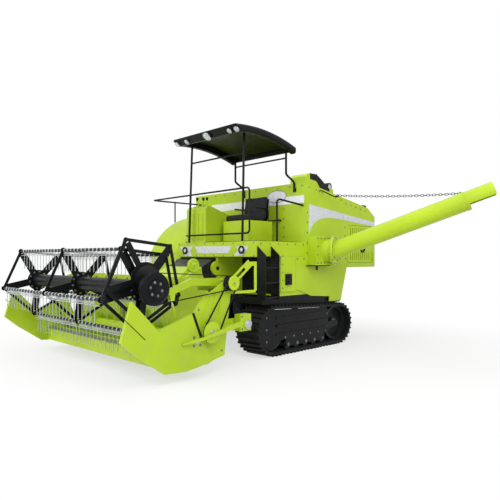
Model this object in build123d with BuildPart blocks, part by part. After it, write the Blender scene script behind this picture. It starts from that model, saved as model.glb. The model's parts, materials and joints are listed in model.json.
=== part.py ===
# Tracked combine harvester, in millimetres.
# The machine faces -Y, its left side is +X, and Z = 0 is the ground under the track lugs.
# All pieces are drawn in the machine's own frame, X = 0 on its centre plane and Y = 0
# half way along the tracks, and moved as one at the end so that the origin lies under
# the middle of the whole outline.
import os
from math import atan2, cos, degrees, hypot, radians, sin, sqrt

from build123d import *

os.makedirs("parts", exist_ok=True)

SEAT = 0.3          # running gap between curved faces that fit in each other
SHEET = 20          # folded sheet walls, with their return flanges

# Rubber tracks
TRACK_X = 1300      # centre of each track from the centre plane
TRACK_WIDTH = 500
BELT = 35
LUG = 30
LUG_PITCH = 90
SPROCKET_Y, SPROCKET_RIM = -815, 345
IDLER_Y, IDLER_RIM = 965, 310
UNDER_BELT = BELT + LUG
SPROCKET_Z = SPROCKET_RIM + UNDER_BELT
IDLER_Z = IDLER_RIM + UNDER_BELT
ROLLER_R = 75
ROLLER_COUNT = 5
ROLLER_SPACING = 235
ROLLER_LENGTH = 300
AXLE_R = 22
BEAM_WIDTH, BEAM_HEIGHT = 130, 150
BEAM_Z = 335
BEAM_FRONT, BEAM_REAR = -440, 640

# Chassis
FRAME_TOP = 950
FRAME_DEPTH = 110
RAIL_X = 850
RAIL_WIDTH = 100
FRAME_FRONT, FRAME_REAR = -1040, 1130
CROSS_TUBE_Y = (-230, 500)

# Body
BODY_HALF = 1500
BODY_FRONT = -620
BODY_TOP = 1600
BODY_TAIL_TOP = (1255, 1400)
BODY_TAIL_FOOT = (1120, FRAME_TOP)
TANK_FRONT, TANK_REAR = 20, 1150
TANK_TOP_FRONT, TANK_TOP_REAR = 2880, 2700
HOOD_REAR = 2245
HOOD_FLOOR = 1395
HOOD_TOP_REAR = (1985, 2565)
HOOD_CORNER = 2400

# Platform, seat and canopy
DECK_FRONT, DECK_FAR = -1200, -500
DECK_TOP = 1840
DECK_BOTTOM = 1595
DECK_SHEET = 30
POST_R = 19
FRONT_POSTS_X = (-243, 1133)
FRONT_POST_TOPS_X = (-150, 1175)
REAR_POSTS_X = (-10, 1258)
CANOPY_X = (-180, 1430)
CANOPY_FRONT, CANOPY_REAR = -1550, -160
CANOPY_ARCH_R = 3060            # roof arch from front to rear, about this centre
CANOPY_ARCH_Y, CANOPY_ARCH_Z = -1164, 579
CANOPY_SKIN = 30
CANOPY_RIM, CANOPY_RIM_DEPTH = 110, 110
LAMP_FACE_Y, LAMP_FACE_Z = (-1548, -1430), (3604, 3508)    # slanted face under the front edge
RAIL_Z = 2690
RAIL_LOW_Z = 1970
RAIL_FAR, RAIL_NEAR = -1320, 1330

# Header, lifted about the feeder's upper shaft
LIFT_Y, LIFT_Z = -1150, 1400
FEEDER_HALF = 480
FEEDER_R = 170
HEADER_HALF = 1850
DIVIDER = 50
TROUGH_HALF = HEADER_HALF - DIVIDER
BACK_Y = -2420
BACK_SHEET = 25
BACK_TOP = 1200
TOP_TUBE = 100
SILL_BOTTOM = 165
LIP_Y, LIP_Z = -3010, 360
KNIFE = 16
GUARD_PITCH = 76
GUARD_LENGTH = 90
AUGER_Y, AUGER_Z = -2650, 500
AUGER_R, DRUM_R = 180, 90
FLIGHT = 8
FLIGHT_PITCH = 360
FLIGHT_INNER, FLIGHT_OUTER = 480, 1560
FINGER_R = 7

# Reel
REEL_Y, REEL_Z = -3312, 1205
REEL_R = 555
BATS = 5
BAT_ANGLE = -12     # first bat, from straight ahead, upwards positive
BAT_R, BAT_BOSS_R = 20, 38
BAT_HALF = 1600
TINE_PITCH = 105
TINE_LENGTH = 290
TINE = 7
STRIP_DROP = 72      # flat strip across the tines, below each bat's tube
SPIDER_X = (-1565, 0, 1565)
SPIDER = 12
SPOKE = 112
RIM = 50
HUB_R = 170
REEL_TUBE_R = 100
REEL_SHAFT_R = 30
CONTROL_Y, CONTROL_Z = 30, 115    # offset of the bat control ring from the reel's axis
CONTROL_DISC_R = 170
CRANK = 12
CRANK_PIN_R = 10
PIN_BOSS_R = 26

# Reel arms and drive
ARM_Y, ARM_Z = -2085, 1236
ARM_X = 1665
ARM_WIDTH = 60
ARM_DEPTH = 90
PIVOT_R = 25
BRACKET = 40
REEL_BELT_X = 1855
LOWER_BELT_X = 1920
BELT_WIDTH, BELT_DEPTH = 20, 12
GROOVE = 15
REEL_PULLEY_R = 203
JACK_PULLEY_R = 104
JACK_DISC_R = 90
LOWER_PULLEY_R = 140
LOWER_PULLEY_Y, LOWER_PULLEY_Z = -2470, 605
GUARD_X = (1881, 1893)
GUARD_Y, GUARD_Z = -1617, 1505
IDLER_X, IDLER_DISC_Y, IDLER_DISC_Z = 1200, -2217, 1463
IDLER_DISC_R = 104

# Unloading auger
FLANGE_X, FLANGE_Y, FLANGE_Z = 1780, 450, 1700
FLANGE_R = 250
FLANGE = 20
HINGE_REACH = 262
UNLOADER_R = 150
UNLOADER_LENGTH = 2680
UNLOADER_SWING = 22     # rearwards from straight out to the left
UNLOADER_RISE = 20
SPOUT, SPOUT_CUT = 400, 63     # open end of the tube, and its lower edge below the axis
CHAIN_Z = 2690
CHAIN_REACH = 2140
CHAIN_WIRE_R = 8
CHAIN_PIN_R = 8
STAY_R = 10

# Cylinders
LIFT_FOOT = (-780, 640)
LIFT_EYE = (-1800, 640)
LIFT_X = 300
LIFT_BORE = 25
LUG_OFF = 49
LIFT_PIN_R, REEL_PIN_R = 15, 8
REEL_FOOT = (-2820, 590)
REEL_EYE = (-2950, 1045)
REEL_CYL_X = ARM_X + ARM_WIDTH / 2
REEL_BORE = 12
REEL_DRIFT = 5.5    # play of the rod's eye round its pin over the lift

# Outline of the whole machine, from the sizes above
swing = Vector(cos(radians(UNLOADER_SWING)), sin(radians(UNLOADER_SWING)), 0)
across = Vector(-swing.Y, swing.X, 0)
rise = radians(UNLOADER_RISE)
auger_way = swing * cos(rise) + Vector(0, 0, sin(rise))
flange_centre = Vector(FLANGE_X, FLANGE_Y, FLANGE_Z)
auger_tip = flange_centre + auger_way * UNLOADER_LENGTH
auger_up = auger_way.cross(across)
spout_edge = across * -sqrt(UNLOADER_R ** 2 - SPOUT_CUT ** 2) - auger_up * SPOUT_CUT
LEFT_MOST = (auger_tip + spout_edge).X
RIGHT_MOST = -HEADER_HALF
FRONT_MOST = REEL_Y - REEL_R * cos(radians(BAT_ANGLE)) - BAT_BOSS_R
REAR_MOST = HOOD_REAR
HOME = Location((-(LEFT_MOST + RIGHT_MOST) / 2, -(FRONT_MOST + REAR_MOST) / 2, 0))


def side_solid(outline, x_from, x_to, mode=Mode.ADD):
    """Extrude an outline of (Y, Z) points along X."""
    with BuildSketch(Plane.YZ.offset(x_from)) as side:
        with BuildLine():
            Polyline(*outline, close=True)
        make_face()
    return extrude(side.sketch, amount=x_to - x_from, mode=mode)


def block(x, y, z, mode=Mode.ADD):
    """A box from its (low, high) pairs along X, Y and Z."""
    centre = [(low + high) / 2 for low, high in (x, y, z)]
    with Locations(tuple(centre)):
        return Box(x[1] - x[0], y[1] - y[0], z[1] - z[0], mode=mode)


def disc(x_from, x_to, y, z, radius, mode=Mode.ADD):
    """A round plate or boss with its axis along X."""
    with BuildSketch(Plane.YZ.offset(x_from)) as face:
        with Locations((y, z)):
            Circle(radius)
    return extrude(face.sketch, amount=x_to - x_from, mode=mode)


def rod(start, end, radius, mode=Mode.ADD):
    """A straight round bar between two points."""
    start, end = Vector(*start), Vector(*end)
    with BuildSketch(Plane(origin=start, z_dir=end - start)) as face:
        Circle(radius)
    return extrude(face.sketch, amount=(end - start).length, mode=mode)


def bar(start, end, width, depth, x_dir=(1, 0, 0)):
    """A straight rectangular bar, its width along x_dir."""
    start, end = Vector(*start), Vector(*end)
    with BuildSketch(Plane(origin=start, x_dir=x_dir, z_dir=end - start)) as face:
        Rectangle(width, depth)
    return extrude(face.sketch, amount=(end - start).length)


def bent_tube(points, radius, bend):
    """A round tube along straight runs joined by arcs."""
    with BuildLine() as route:
        FilletPolyline(*points, radius=bend)
    with BuildSketch(Plane(origin=route.line @ 0, z_dir=route.line % 0)) as face:
        Circle(radius)
    return sweep(face.sketch, path=route.line)


def save(part, name):
    """Name a finished piece, move it to the common origin and write it."""
    piece = part.moved(HOME)
    piece.label = name
    export_step(piece, f"parts/{name}.step")


# Tracks: one loop each, belt and lugs in one outline
def track_solid(x_centre):
    with BuildSketch() as hull:
        for y, z, rim in ((SPROCKET_Y, SPROCKET_Z, SPROCKET_RIM), (IDLER_Y, IDLER_Z, IDLER_RIM)):
            with Locations((y, z)):
                Circle(rim + BELT)
        make_hull()
    ring = hull.sketch.faces()[0].outer_wire()
    middle = ring.center()
    count = round(ring.length / LUG_PITCH)
    with BuildSketch(Plane.YZ.offset(x_centre - TRACK_WIDTH / 2)) as loop:
        add(hull.sketch)
        for i in range(count):
            at, way = ring.position_at(i / count), ring.tangent_at(i / count)
            out = Vector(way.Y, -way.X, 0)
            if out.dot(at - middle) < 0:
                out = out * -1
            turn = degrees(atan2(out.Y, out.X)) - 90
            with Locations(Location((at.X, at.Y, 0), (0, 0, turn))):
                Trapezoid(LUG_PITCH * 0.55, 2 * LUG, 78)
        offset(hull.sketch, amount=-BELT, mode=Mode.SUBTRACT)
    return extrude(loop.sketch, amount=TRACK_WIDTH)


def track_wheels(x):
    half = ROLLER_LENGTH / 2
    for y, z, rim, web in (
        (SPROCKET_Y, SPROCKET_Z, SPROCKET_RIM - SEAT, 34),
        (IDLER_Y, IDLER_Z, IDLER_RIM - SEAT, 26),
    ):
        disc(x - half + 30, x + half - 30, y, z, rim)
        disc(x - half + 30, x - web / 2, y, z, rim - 40, mode=Mode.SUBTRACT)
        disc(x + web / 2, x + half - 30, y, z, rim - 40, mode=Mode.SUBTRACT)
        disc(x - half + 60, x + half - 60, y, z, 85)
        disc(x - half, x + half, y, z, AXLE_R + SEAT, mode=Mode.SUBTRACT)
    for i in range(ROLLER_COUNT):
        y = (i - (ROLLER_COUNT - 1) / 2) * ROLLER_SPACING + 60
        z = UNDER_BELT + ROLLER_R + SEAT
        disc(x - half, x + half, y, z, ROLLER_R)
        disc(x - half, x + half, y, z, AXLE_R + SEAT, mode=Mode.SUBTRACT)


def track_frame(x, inward):
    half = ROLLER_LENGTH / 2
    plate = 14
    gap = 6
    low, high = BEAM_Z - BEAM_HEIGHT / 2, BEAM_Z + BEAM_HEIGHT / 2
    block((x - BEAM_WIDTH / 2, x + BEAM_WIDTH / 2), (BEAM_FRONT, BEAM_REAR - 20), (low, high))
    for side in (-1, 1):
        inner = x + side * (half + gap)
        outer = inner + side * plate
        span = (min(inner, outer), max(inner, outer))
        foot = UNDER_BELT + ROLLER_R - 30
        reach = (ROLLER_COUNT - 1) / 2 * ROLLER_SPACING
        block(span, (60 - reach - 60, 60 + reach + 60), (foot, high))
        yoke = [(BEAM_REAR - 100, low), (IDLER_Y, IDLER_Z - 50), (IDLER_Y + 45, IDLER_Z),
                (IDLER_Y, IDLER_Z + 50), (BEAM_REAR - 100, high)]
        side_solid(yoke, span[0], span[1])
    for y in (60 - reach - 30, BEAM_REAR - 60):
        block((x - half - gap - plate, x + half + gap + plate), (y - 30, y + 30), (high - 40, high))
    for i in range(ROLLER_COUNT):
        y = (i - (ROLLER_COUNT - 1) / 2) * ROLLER_SPACING + 60
        z = UNDER_BELT + ROLLER_R + SEAT
        disc(x - half - gap - plate, x + half + gap + plate, y, z, AXLE_R)
    disc(x - half - gap - plate, x + half + gap + plate, IDLER_Y, IDLER_Z, AXLE_R)
    inner_face = x - inward * (half + 95)
    ends = sorted((inner_face, x + inward * (half - 20)))
    disc(ends[0], ends[1], SPROCKET_Y, SPROCKET_Z, AXLE_R)
    housing = sorted((inner_face, x - inward * (half + 5)))
    disc(housing[0], housing[1], SPROCKET_Y, SPROCKET_Z, 150)
    arm = sorted((inner_face, x - inward * (half + gap)))
    side_solid([(SPROCKET_Y, SPROCKET_Z - 90), (BEAM_FRONT + 100, low), (BEAM_FRONT + 100, high),
                (SPROCKET_Y, SPROCKET_Z + 90)], arm[0], arm[1])


for side_name, side in (("left", 1), ("right", -1)):
    with BuildPart() as track:
        track_solid(side * TRACK_X)
    save(track.part, f"{side_name}_track")
    with BuildPart() as wheels:
        track_wheels(side * TRACK_X)
    save(wheels.part, f"{side_name}_track_wheels")
    with BuildPart() as beam:
        track_frame(side * TRACK_X, side)
    save(beam.part, f"{side_name}_track_frame")

# Chassis: two long rails, side sills, cross members and the legs to the track frames
with BuildPart() as chassis_frame:
    for side in (-1, 1):
        for x, width in ((side * RAIL_X, RAIL_WIDTH), (side * (BODY_HALF - 75), 80)):
            block((x - width / 2, x + width / 2), (FRAME_FRONT, FRAME_REAR),
                  (FRAME_TOP - FRAME_DEPTH, FRAME_TOP))
        for y in CROSS_TUBE_Y:
            block((side * RAIL_X - 45, side * RAIL_X + 45), (y - 45, y + 45),
                  (BEAM_Z - 50, FRAME_TOP - FRAME_DEPTH))
    for y in (FRAME_FRONT + 50, 0, FRAME_REAR - 50):
        block((-BODY_HALF + 35, BODY_HALF - 35), (y - 50, y + 50),
              (FRAME_TOP - FRAME_DEPTH, FRAME_TOP))
    for y in CROSS_TUBE_Y:
        reach = TRACK_X - ROLLER_LENGTH / 2 - 20
        block((-reach, reach), (y - 50, y + 50), (BEAM_Z - 50, BEAM_Z + 50))
    for side in (-1, 1):
        for x in (side * LIFT_X - LUG_OFF, side * LIFT_X + LUG_OFF):
            side_solid([(LIFT_FOOT[0] - 40, LIFT_FOOT[1] - 35), (LIFT_FOOT[0] + 40, LIFT_FOOT[1] - 35),
                        (LIFT_FOOT[0] + 40, FRAME_TOP - 20), (FRAME_FRONT + 50, FRAME_TOP - 20),
                        (FRAME_FRONT + 50, FRAME_TOP - FRAME_DEPTH)], x - 8, x + 8)
        disc(side * LIFT_X - LUG_OFF, side * LIFT_X + LUG_OFF, *LIFT_FOOT, LIFT_PIN_R)
save(chassis_frame.part, "chassis_frame")

# Thresher body: a closed housing with the cheeks that carry the feeder's upper shaft
with BuildPart() as thresher_body:
    half = BODY_HALF - SHEET
    side_solid([(BODY_FRONT, FRAME_TOP), (BODY_FRONT, BODY_TOP), (BODY_TAIL_TOP[0], BODY_TOP),
                BODY_TAIL_TOP, BODY_TAIL_FOOT], -half, half)
    block((-FEEDER_HALF - 60, FEEDER_HALF + 60), (LIFT_Y, BODY_FRONT), (1160, BODY_TOP - 15))
    disc(-FEEDER_HALF - 60, FEEDER_HALF + 60, LIFT_Y, LIFT_Z, 120)
    disc(-FEEDER_HALF - 10, FEEDER_HALF + 10, LIFT_Y, LIFT_Z, FEEDER_R + 10, mode=Mode.SUBTRACT)
    block((-FEEDER_HALF - 10, FEEDER_HALF + 10), (LIFT_Y - 300, LIFT_Y), (1000, BODY_TOP),
          mode=Mode.SUBTRACT)
    disc(-FEEDER_HALF - 60, FEEDER_HALF + 60, LIFT_Y, LIFT_Z, 35 + SEAT, mode=Mode.SUBTRACT)
save(thresher_body.part, "thresher_body")

# Side panels over the body, their lower edges stepped as skirts above the tracks
with BuildPart() as side_panels:
    front_panel = [(BODY_FRONT, 1020), (-255, 1015), (-255, 1640), (BODY_FRONT, 1650)]
    rear_panel = [(-250, 1052), (170, 915), (705, 880), (705, 790), (1052, 785),
                  (1250, HOOD_FLOOR), (1250, BODY_TOP), (-250, BODY_TOP)]
    for side in (-1, 1):
        for outline in (front_panel, rear_panel):
            xs = sorted((side * (BODY_HALF - SHEET), side * BODY_HALF))
            side_solid([(y, min(z, BODY_TOP)) for y, z in outline], xs[0], xs[1])
save(side_panels.part, "side_panels")

# Grain tank: an open bin on the body
tank_side = [(TANK_FRONT, BODY_TOP), (TANK_FRONT, TANK_TOP_FRONT), (TANK_REAR, TANK_TOP_REAR),
             (TANK_REAR, BODY_TOP)]
with BuildPart() as grain_tank:
    side_solid(tank_side, -BODY_HALF, BODY_HALF)
    side_solid([(TANK_FRONT + SHEET, BODY_TOP + 450), (TANK_FRONT + SHEET, 3000),
                (TANK_REAR - SHEET, 3000), (TANK_REAR - SHEET, BODY_TOP + 450),
                (TANK_REAR - 400, BODY_TOP + SHEET), (TANK_FRONT + 400, BODY_TOP + SHEET)],
               -BODY_HALF + SHEET, BODY_HALF - SHEET, mode=Mode.SUBTRACT)
save(grain_tank.part, "grain_tank")

# Engine hood behind the tank, open below, with the door's opening in its left wall
DOOR_Y = (1290, 2150)
DOOR_Z = (1480, 2200)
DOOR_GAP = 6
DOOR_PIN_R, DOOR_KNUCKLE_R = 5, 11
DOOR_AXIS_X, DOOR_AXIS_Y = BODY_HALF + 14, DOOR_Y[1] + 4
DOOR_HINGES_Z = (DOOR_Z[0] + 120, DOOR_Z[1] - 120)
DOOR_KNUCKLE = 50
with BuildPart() as engine_hood:
    hood_side = [(TANK_REAR, BODY_TOP), (TANK_REAR, TANK_TOP_REAR), HOOD_TOP_REAR,
                 (HOOD_REAR, HOOD_CORNER), (HOOD_REAR, HOOD_FLOOR), (1262, HOOD_FLOOR), (1262, BODY_TOP)]
    side_solid(hood_side, -BODY_HALF, BODY_HALF)
    side_solid([(TANK_REAR + SHEET, BODY_TOP + 20), (TANK_REAR + SHEET, TANK_TOP_REAR - 30),
                (HOOD_TOP_REAR[0] - 10, HOOD_TOP_REAR[1] - SHEET - 5),
                (HOOD_REAR - SHEET, HOOD_CORNER - 15), (HOOD_REAR - SHEET, HOOD_FLOOR - 10),
                (1282, HOOD_FLOOR - 10), (1282, BODY_TOP + 20)],
               -BODY_HALF + SHEET, BODY_HALF - SHEET, mode=Mode.SUBTRACT)
    block((BODY_HALF - 60, BODY_HALF + 5), DOOR_Y, DOOR_Z, mode=Mode.SUBTRACT)
    for z in DOOR_HINGES_Z:
        for low in (z - DOOR_KNUCKLE * 1.5 - 1, z + DOOR_KNUCKLE / 2 + 1):
            foot = Vector(DOOR_AXIS_X, DOOR_AXIS_Y, low)
            block((BODY_HALF, BODY_HALF + 6), (DOOR_AXIS_Y, DOOR_AXIS_Y + 60), (low, low + DOOR_KNUCKLE))
            block((BODY_HALF, DOOR_AXIS_X), (DOOR_AXIS_Y, DOOR_AXIS_Y + 11), (low, low + DOOR_KNUCKLE))
            rod(foot, foot + Vector(0, 0, DOOR_KNUCKLE), DOOR_KNUCKLE_R)
        rod((DOOR_AXIS_X, DOOR_AXIS_Y, z - 70), (DOOR_AXIS_X, DOOR_AXIS_Y, z + 70), DOOR_PIN_R)
save(engine_hood.part, "engine_hood")

# Louvred engine door, hinged at its rear edge
with BuildPart() as engine_door:
    block((BODY_HALF - SHEET, BODY_HALF), (DOOR_Y[0] + DOOR_GAP, DOOR_Y[1] - DOOR_GAP),
          (DOOR_Z[0] + DOOR_GAP, DOOR_Z[1] - DOOR_GAP))
    for z_low, z_high in ((1540, 1680), (1880, 2150)):
        for i in range(10):
            y = DOOR_Y[0] + 90 + i * 70
            block((BODY_HALF - SHEET - 5, BODY_HALF + 5), (y - 12, y + 12), (z_low, z_high),
                  mode=Mode.SUBTRACT)
    for z in DOOR_HINGES_Z:
        foot = Vector(DOOR_AXIS_X, DOOR_AXIS_Y, z - DOOR_KNUCKLE / 2)
        block((BODY_HALF, BODY_HALF + 6), (DOOR_AXIS_Y - 90, DOOR_AXIS_Y), (foot.Z, foot.Z + DOOR_KNUCKLE))
        rod(foot, foot + Vector(0, 0, DOOR_KNUCKLE), DOOR_KNUCKLE_R)
        block((BODY_HALF, DOOR_AXIS_X), (DOOR_AXIS_Y - 11, DOOR_AXIS_Y), (foot.Z, foot.Z + DOOR_KNUCKLE))
        rod(foot - Vector(0, 0, 1), foot + Vector(0, 0, DOOR_KNUCKLE + 1), DOOR_PIN_R + SEAT,
            mode=Mode.SUBTRACT)
save(engine_door.part, "engine_door")

# Engine: a heavy mass, as a plain block on two bearers from the tank's rear wall
with BuildPart() as engine_block:
    block((350, 1350), (1420, 2120), (1500, 2250))
    for x in (500, 1200):
        block((x - 40, x + 40), (1282, 1420), (1500, 1600))
save(engine_block.part, "engine_block")

# Elevator head on the tank's left wall, with its spout into the bin
with BuildPart() as elevator_head:
    side_solid([(60, 2480), (60, 2990), (110, 3040), (330, 3040), (430, 2960), (430, 2480)],
               1120, BODY_HALF - SHEET)
    side_solid([(430, 2700), (430, 2930), (720, 2760), (720, 2680)], 1160, 1440)
save(elevator_head.part, "elevator_head")

# Platform: deck with its front and side fascias
with BuildPart() as platform:
    block((DECK_FAR, BODY_HALF), (DECK_FRONT, TANK_FRONT), (DECK_TOP - DECK_SHEET, DECK_TOP))
    block((DECK_FAR, BODY_HALF), (DECK_FRONT, DECK_FRONT + DECK_SHEET), (DECK_BOTTOM, DECK_TOP))
    for x in (DECK_FAR, BODY_HALF - DECK_SHEET):
        block((x, x + DECK_SHEET), (DECK_FRONT, TANK_FRONT), (BODY_TOP + 2, DECK_TOP))
    for x in (DECK_FAR + 300, 500, BODY_HALF - 400):
        block((x, x + DECK_SHEET), (BODY_FRONT, TANK_FRONT), (BODY_TOP, DECK_TOP))
save(platform.part, "platform")

# Rounded cover in front of the tank on the right
COVER_Y, COVER_Z = -1110, 1100
with BuildPart() as front_cover:
    with BuildSketch(Plane.YZ.offset(-BODY_HALF)) as side_face:
        with BuildLine():
            Line((COVER_Y, COVER_Z), (COVER_Y, 1690))
            ThreePointArc((COVER_Y, 1690), (-830, 2085), (-228, 2400))
            Polyline((-228, 2400), (TANK_FRONT, 2440), (TANK_FRONT, BODY_TOP), (BODY_FRONT, BODY_TOP),
                     (BODY_FRONT, COVER_Z), (COVER_Y, COVER_Z))
        make_face()
    extrude(amount=BODY_HALF + DECK_FAR)
    block((-FEEDER_HALF - 65, DECK_FAR + 1), (COVER_Y - 1, BODY_FRONT + 1), (COVER_Z - 1, BODY_TOP),
          mode=Mode.SUBTRACT)
save(front_cover.part, "front_cover")

# Ladder: two plate stringers and three treads
with BuildPart() as ladder:
    for y in (-1180, -870):
        with BuildSketch(Plane.XZ.offset(-y)) as plate:
            with BuildLine():
                Polyline((BODY_HALF, 1760), (BODY_HALF + 175, 1620), (BODY_HALF + 175, 925),
                         (BODY_HALF, 925), close=True)
            make_face()
        extrude(plate.sketch, amount=-14)
    for z in (960, 1190, 1420):
        block((BODY_HALF + 5, BODY_HALF + 170), (-1180, -870), (z - 12, z + 12))
save(ladder.part, "ladder")

# Hand rails around the platform, and the grip beside the ladder
with BuildPart() as hand_rails:
    y = DECK_FRONT + 20
    bent_tube([(RAIL_FAR, TANK_FRONT, RAIL_Z), (RAIL_FAR, y, RAIL_Z), (RAIL_NEAR, y, RAIL_Z),
               (RAIL_NEAR, y, RAIL_LOW_Z), (FRONT_POSTS_X[0] - 30, y, RAIL_LOW_Z)], 15, 60)
    rod((RAIL_FAR, -660, 2290), (RAIL_FAR, -660, RAIL_Z), 13)
    bent_tube([(1300, -500, DECK_TOP), (1300, -500, 2570), (1440, TANK_FRONT + 10, 2480)], 16, 60)
    add(front_cover.part, mode=Mode.SUBTRACT)
    add(grain_tank.part, mode=Mode.SUBTRACT)
save(hand_rails.part, "hand_rails")

# Operator's console with its levers
with BuildPart() as console:
    side_solid([(-1060, DECK_TOP), (-1060, 2440), (-1020, 2490), (-900, 2480), (-450, 2340), (-450, DECK_TOP)],
               -420, 120)
    for x in (-330, -210, -90, 30):
        block((x - 15, x + 15), (-1075, -1060), (DECK_TOP + 60, 2360))
    for x, lean in ((-300, -60), (-200, 0), (-120, 20)):
        rod((x, -850, 2450), (x, -850 + lean, 2650), 9)
        with Locations((x, -850 + lean, 2660)):
            Sphere(22)
save(console.part, "console")

# Seat on its box
with BuildPart() as seat_box:
    block((250, 880), (-760, -160), (DECK_TOP, 2220))
save(seat_box.part, "seat_box")
with BuildPart() as seat:
    block((290, 840), (-760, -300), (2220, 2330))
    side_solid([(-330, 2330), (-300, 2230), (-215, 2230), (-180, 2660), (-260, 2680)], 300, 830)
save(seat.part, "seat")


# Canopy: a roof arched from front to rear, hollow below, with thick rims along both sides
def arch_z(y):
    """Height of the canopy's arched top."""
    return CANOPY_ARCH_Z + sqrt(CANOPY_ARCH_R ** 2 - (y - CANOPY_ARCH_Y) ** 2)


def roof_band(x_from, x_to, depth, y_from=CANOPY_FRONT, y_to=CANOPY_REAR):
    """The arched top's layer of one depth, between two planes along each way."""
    with BuildSketch(Plane.YZ.offset(x_from)) as face:
        with Locations((CANOPY_ARCH_Y, CANOPY_ARCH_Z)):
            Circle(CANOPY_ARCH_R)
            Circle(CANOPY_ARCH_R - depth, mode=Mode.SUBTRACT)
        with Locations(((y_from + y_to) / 2, arch_z(CANOPY_ARCH_Y))):
            Rectangle(y_to - y_from, 1000, mode=Mode.INTERSECT)
    return extrude(face.sketch, amount=x_to - x_from)


x0, x1 = CANOPY_X
with BuildPart() as canopy:
    roof_band(x0, x1, CANOPY_SKIN)
    roof_band(x0, x0 + CANOPY_RIM, CANOPY_RIM_DEPTH)
    roof_band(x1 - CANOPY_RIM, x1, CANOPY_RIM_DEPTH)
    roof_band(x0, x1, CANOPY_RIM_DEPTH, CANOPY_FRONT, LAMP_FACE_Y[1] + CANOPY_SKIN)
    roof_band(x0, x1, CANOPY_RIM_DEPTH * 0.7, CANOPY_REAR - CANOPY_SKIN, CANOPY_REAR)
    side_solid([(CANOPY_FRONT - 1, LAMP_FACE_Z[0]), (LAMP_FACE_Y[0], LAMP_FACE_Z[0]),
                (LAMP_FACE_Y[1], LAMP_FACE_Z[1]), (LAMP_FACE_Y[1], 3300), (CANOPY_FRONT - 1, 3300)],
               x0 - 1, x1 + 1, mode=Mode.SUBTRACT)
    rims = canopy.edges().filter_by(GeomType.CIRCLE).filter_by(lambda e: e.length > 1300)
    outer = rims.filter_by(lambda e: min(abs(e.center().X - x0), abs(e.center().X - x1)) < 1)
    fillet(outer, 40)
save(canopy.part, "canopy")

POST_Y = DECK_FRONT + 20 + 15 + POST_R + SEAT
REAR_POST_Y = CANOPY_REAR - 60


def post_x(feet, tops, i, z):
    """Place of a leaning front post at one height."""
    return feet[i] + (tops[i] - feet[i]) * (z - DECK_TOP) / (arch_z(POST_Y) - DECK_TOP)


with BuildPart() as canopy_frame:
    ties = []
    for i, x in enumerate(REAR_POSTS_X):
        rod((FRONT_POSTS_X[i], POST_Y, DECK_TOP - 5), (FRONT_POST_TOPS_X[i], POST_Y, arch_z(POST_Y) - 5), POST_R)
        bent_tube([(x, REAR_POST_Y, arch_z(REAR_POST_Y) - 8), (x, REAR_POST_Y, 3010),
                   (x, TANK_FRONT - 22, 2900), (x, TANK_FRONT - 22, 2740)], POST_R, 60)
        block((x - 25, x + 25), (TANK_FRONT - 24, TANK_FRONT), (2730, 2790))
        ties.append(post_x(FRONT_POSTS_X, FRONT_POST_TOPS_X, i, 3260))
    rod((ties[0], POST_Y, 3260), (ties[1], POST_Y, 3260), POST_R - 5)
    rod((REAR_POSTS_X[0], REAR_POST_Y, 3290), (REAR_POSTS_X[1], REAR_POST_Y, 3290), POST_R - 5)
    add(canopy.part, mode=Mode.SUBTRACT)
    add(platform.part, mode=Mode.SUBTRACT)
save(canopy_frame.part, "canopy_frame")

# Lamps: two in the platform's fascia, and five on the slanted face under the canopy's front edge
with BuildPart() as lamps:
    for x in (-263, 1193):
        with BuildSketch(Plane.XZ.offset(-DECK_FRONT)) as face:
            with Locations((x, 1705)):
                Circle(60)
        extrude(face.sketch, amount=25)
    middle = Vector(0, sum(LAMP_FACE_Y) / 2, sum(LAMP_FACE_Z) / 2)
    slope = Vector(0, LAMP_FACE_Z[1] - LAMP_FACE_Z[0], LAMP_FACE_Y[0] - LAMP_FACE_Y[1]).normalized()
    for x, radius in ((-110, 36), (150, 36), (680, 62), (1215, 36), (1374, 40)):
        spot = middle + Vector(x, 0, 0)
        rod(spot, spot + slope * 28, radius)
save(lamps.part, "lamps")

# Unloading elbow on the body's left side, ending in an upright flange
hinge = flange_centre + across * HINGE_REACH
KNUCKLE_R, KNUCKLE_PIN_R = 26, 12
with BuildPart() as unloader_elbow:
    block((BODY_HALF, 1690), (70, 560), (1450, 1950))
    rod(flange_centre - swing * 250, flange_centre - swing * 5, 200)
    rod(flange_centre - swing * FLANGE, flange_centre, FLANGE_R)
    block((0, BODY_HALF), (-500, 900), (1300, 2100), mode=Mode.SUBTRACT)
    rod(hinge - Vector(0, 0, 130), hinge + Vector(0, 0, 130), KNUCKLE_R)
    rod(hinge - Vector(0, 0, 50), hinge + Vector(0, 0, 50), KNUCKLE_R + 5, mode=Mode.SUBTRACT)
    rod(hinge - Vector(0, 0, 130), hinge + Vector(0, 0, 130), KNUCKLE_PIN_R)
save(unloader_elbow.part, "unloader_elbow")

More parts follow.
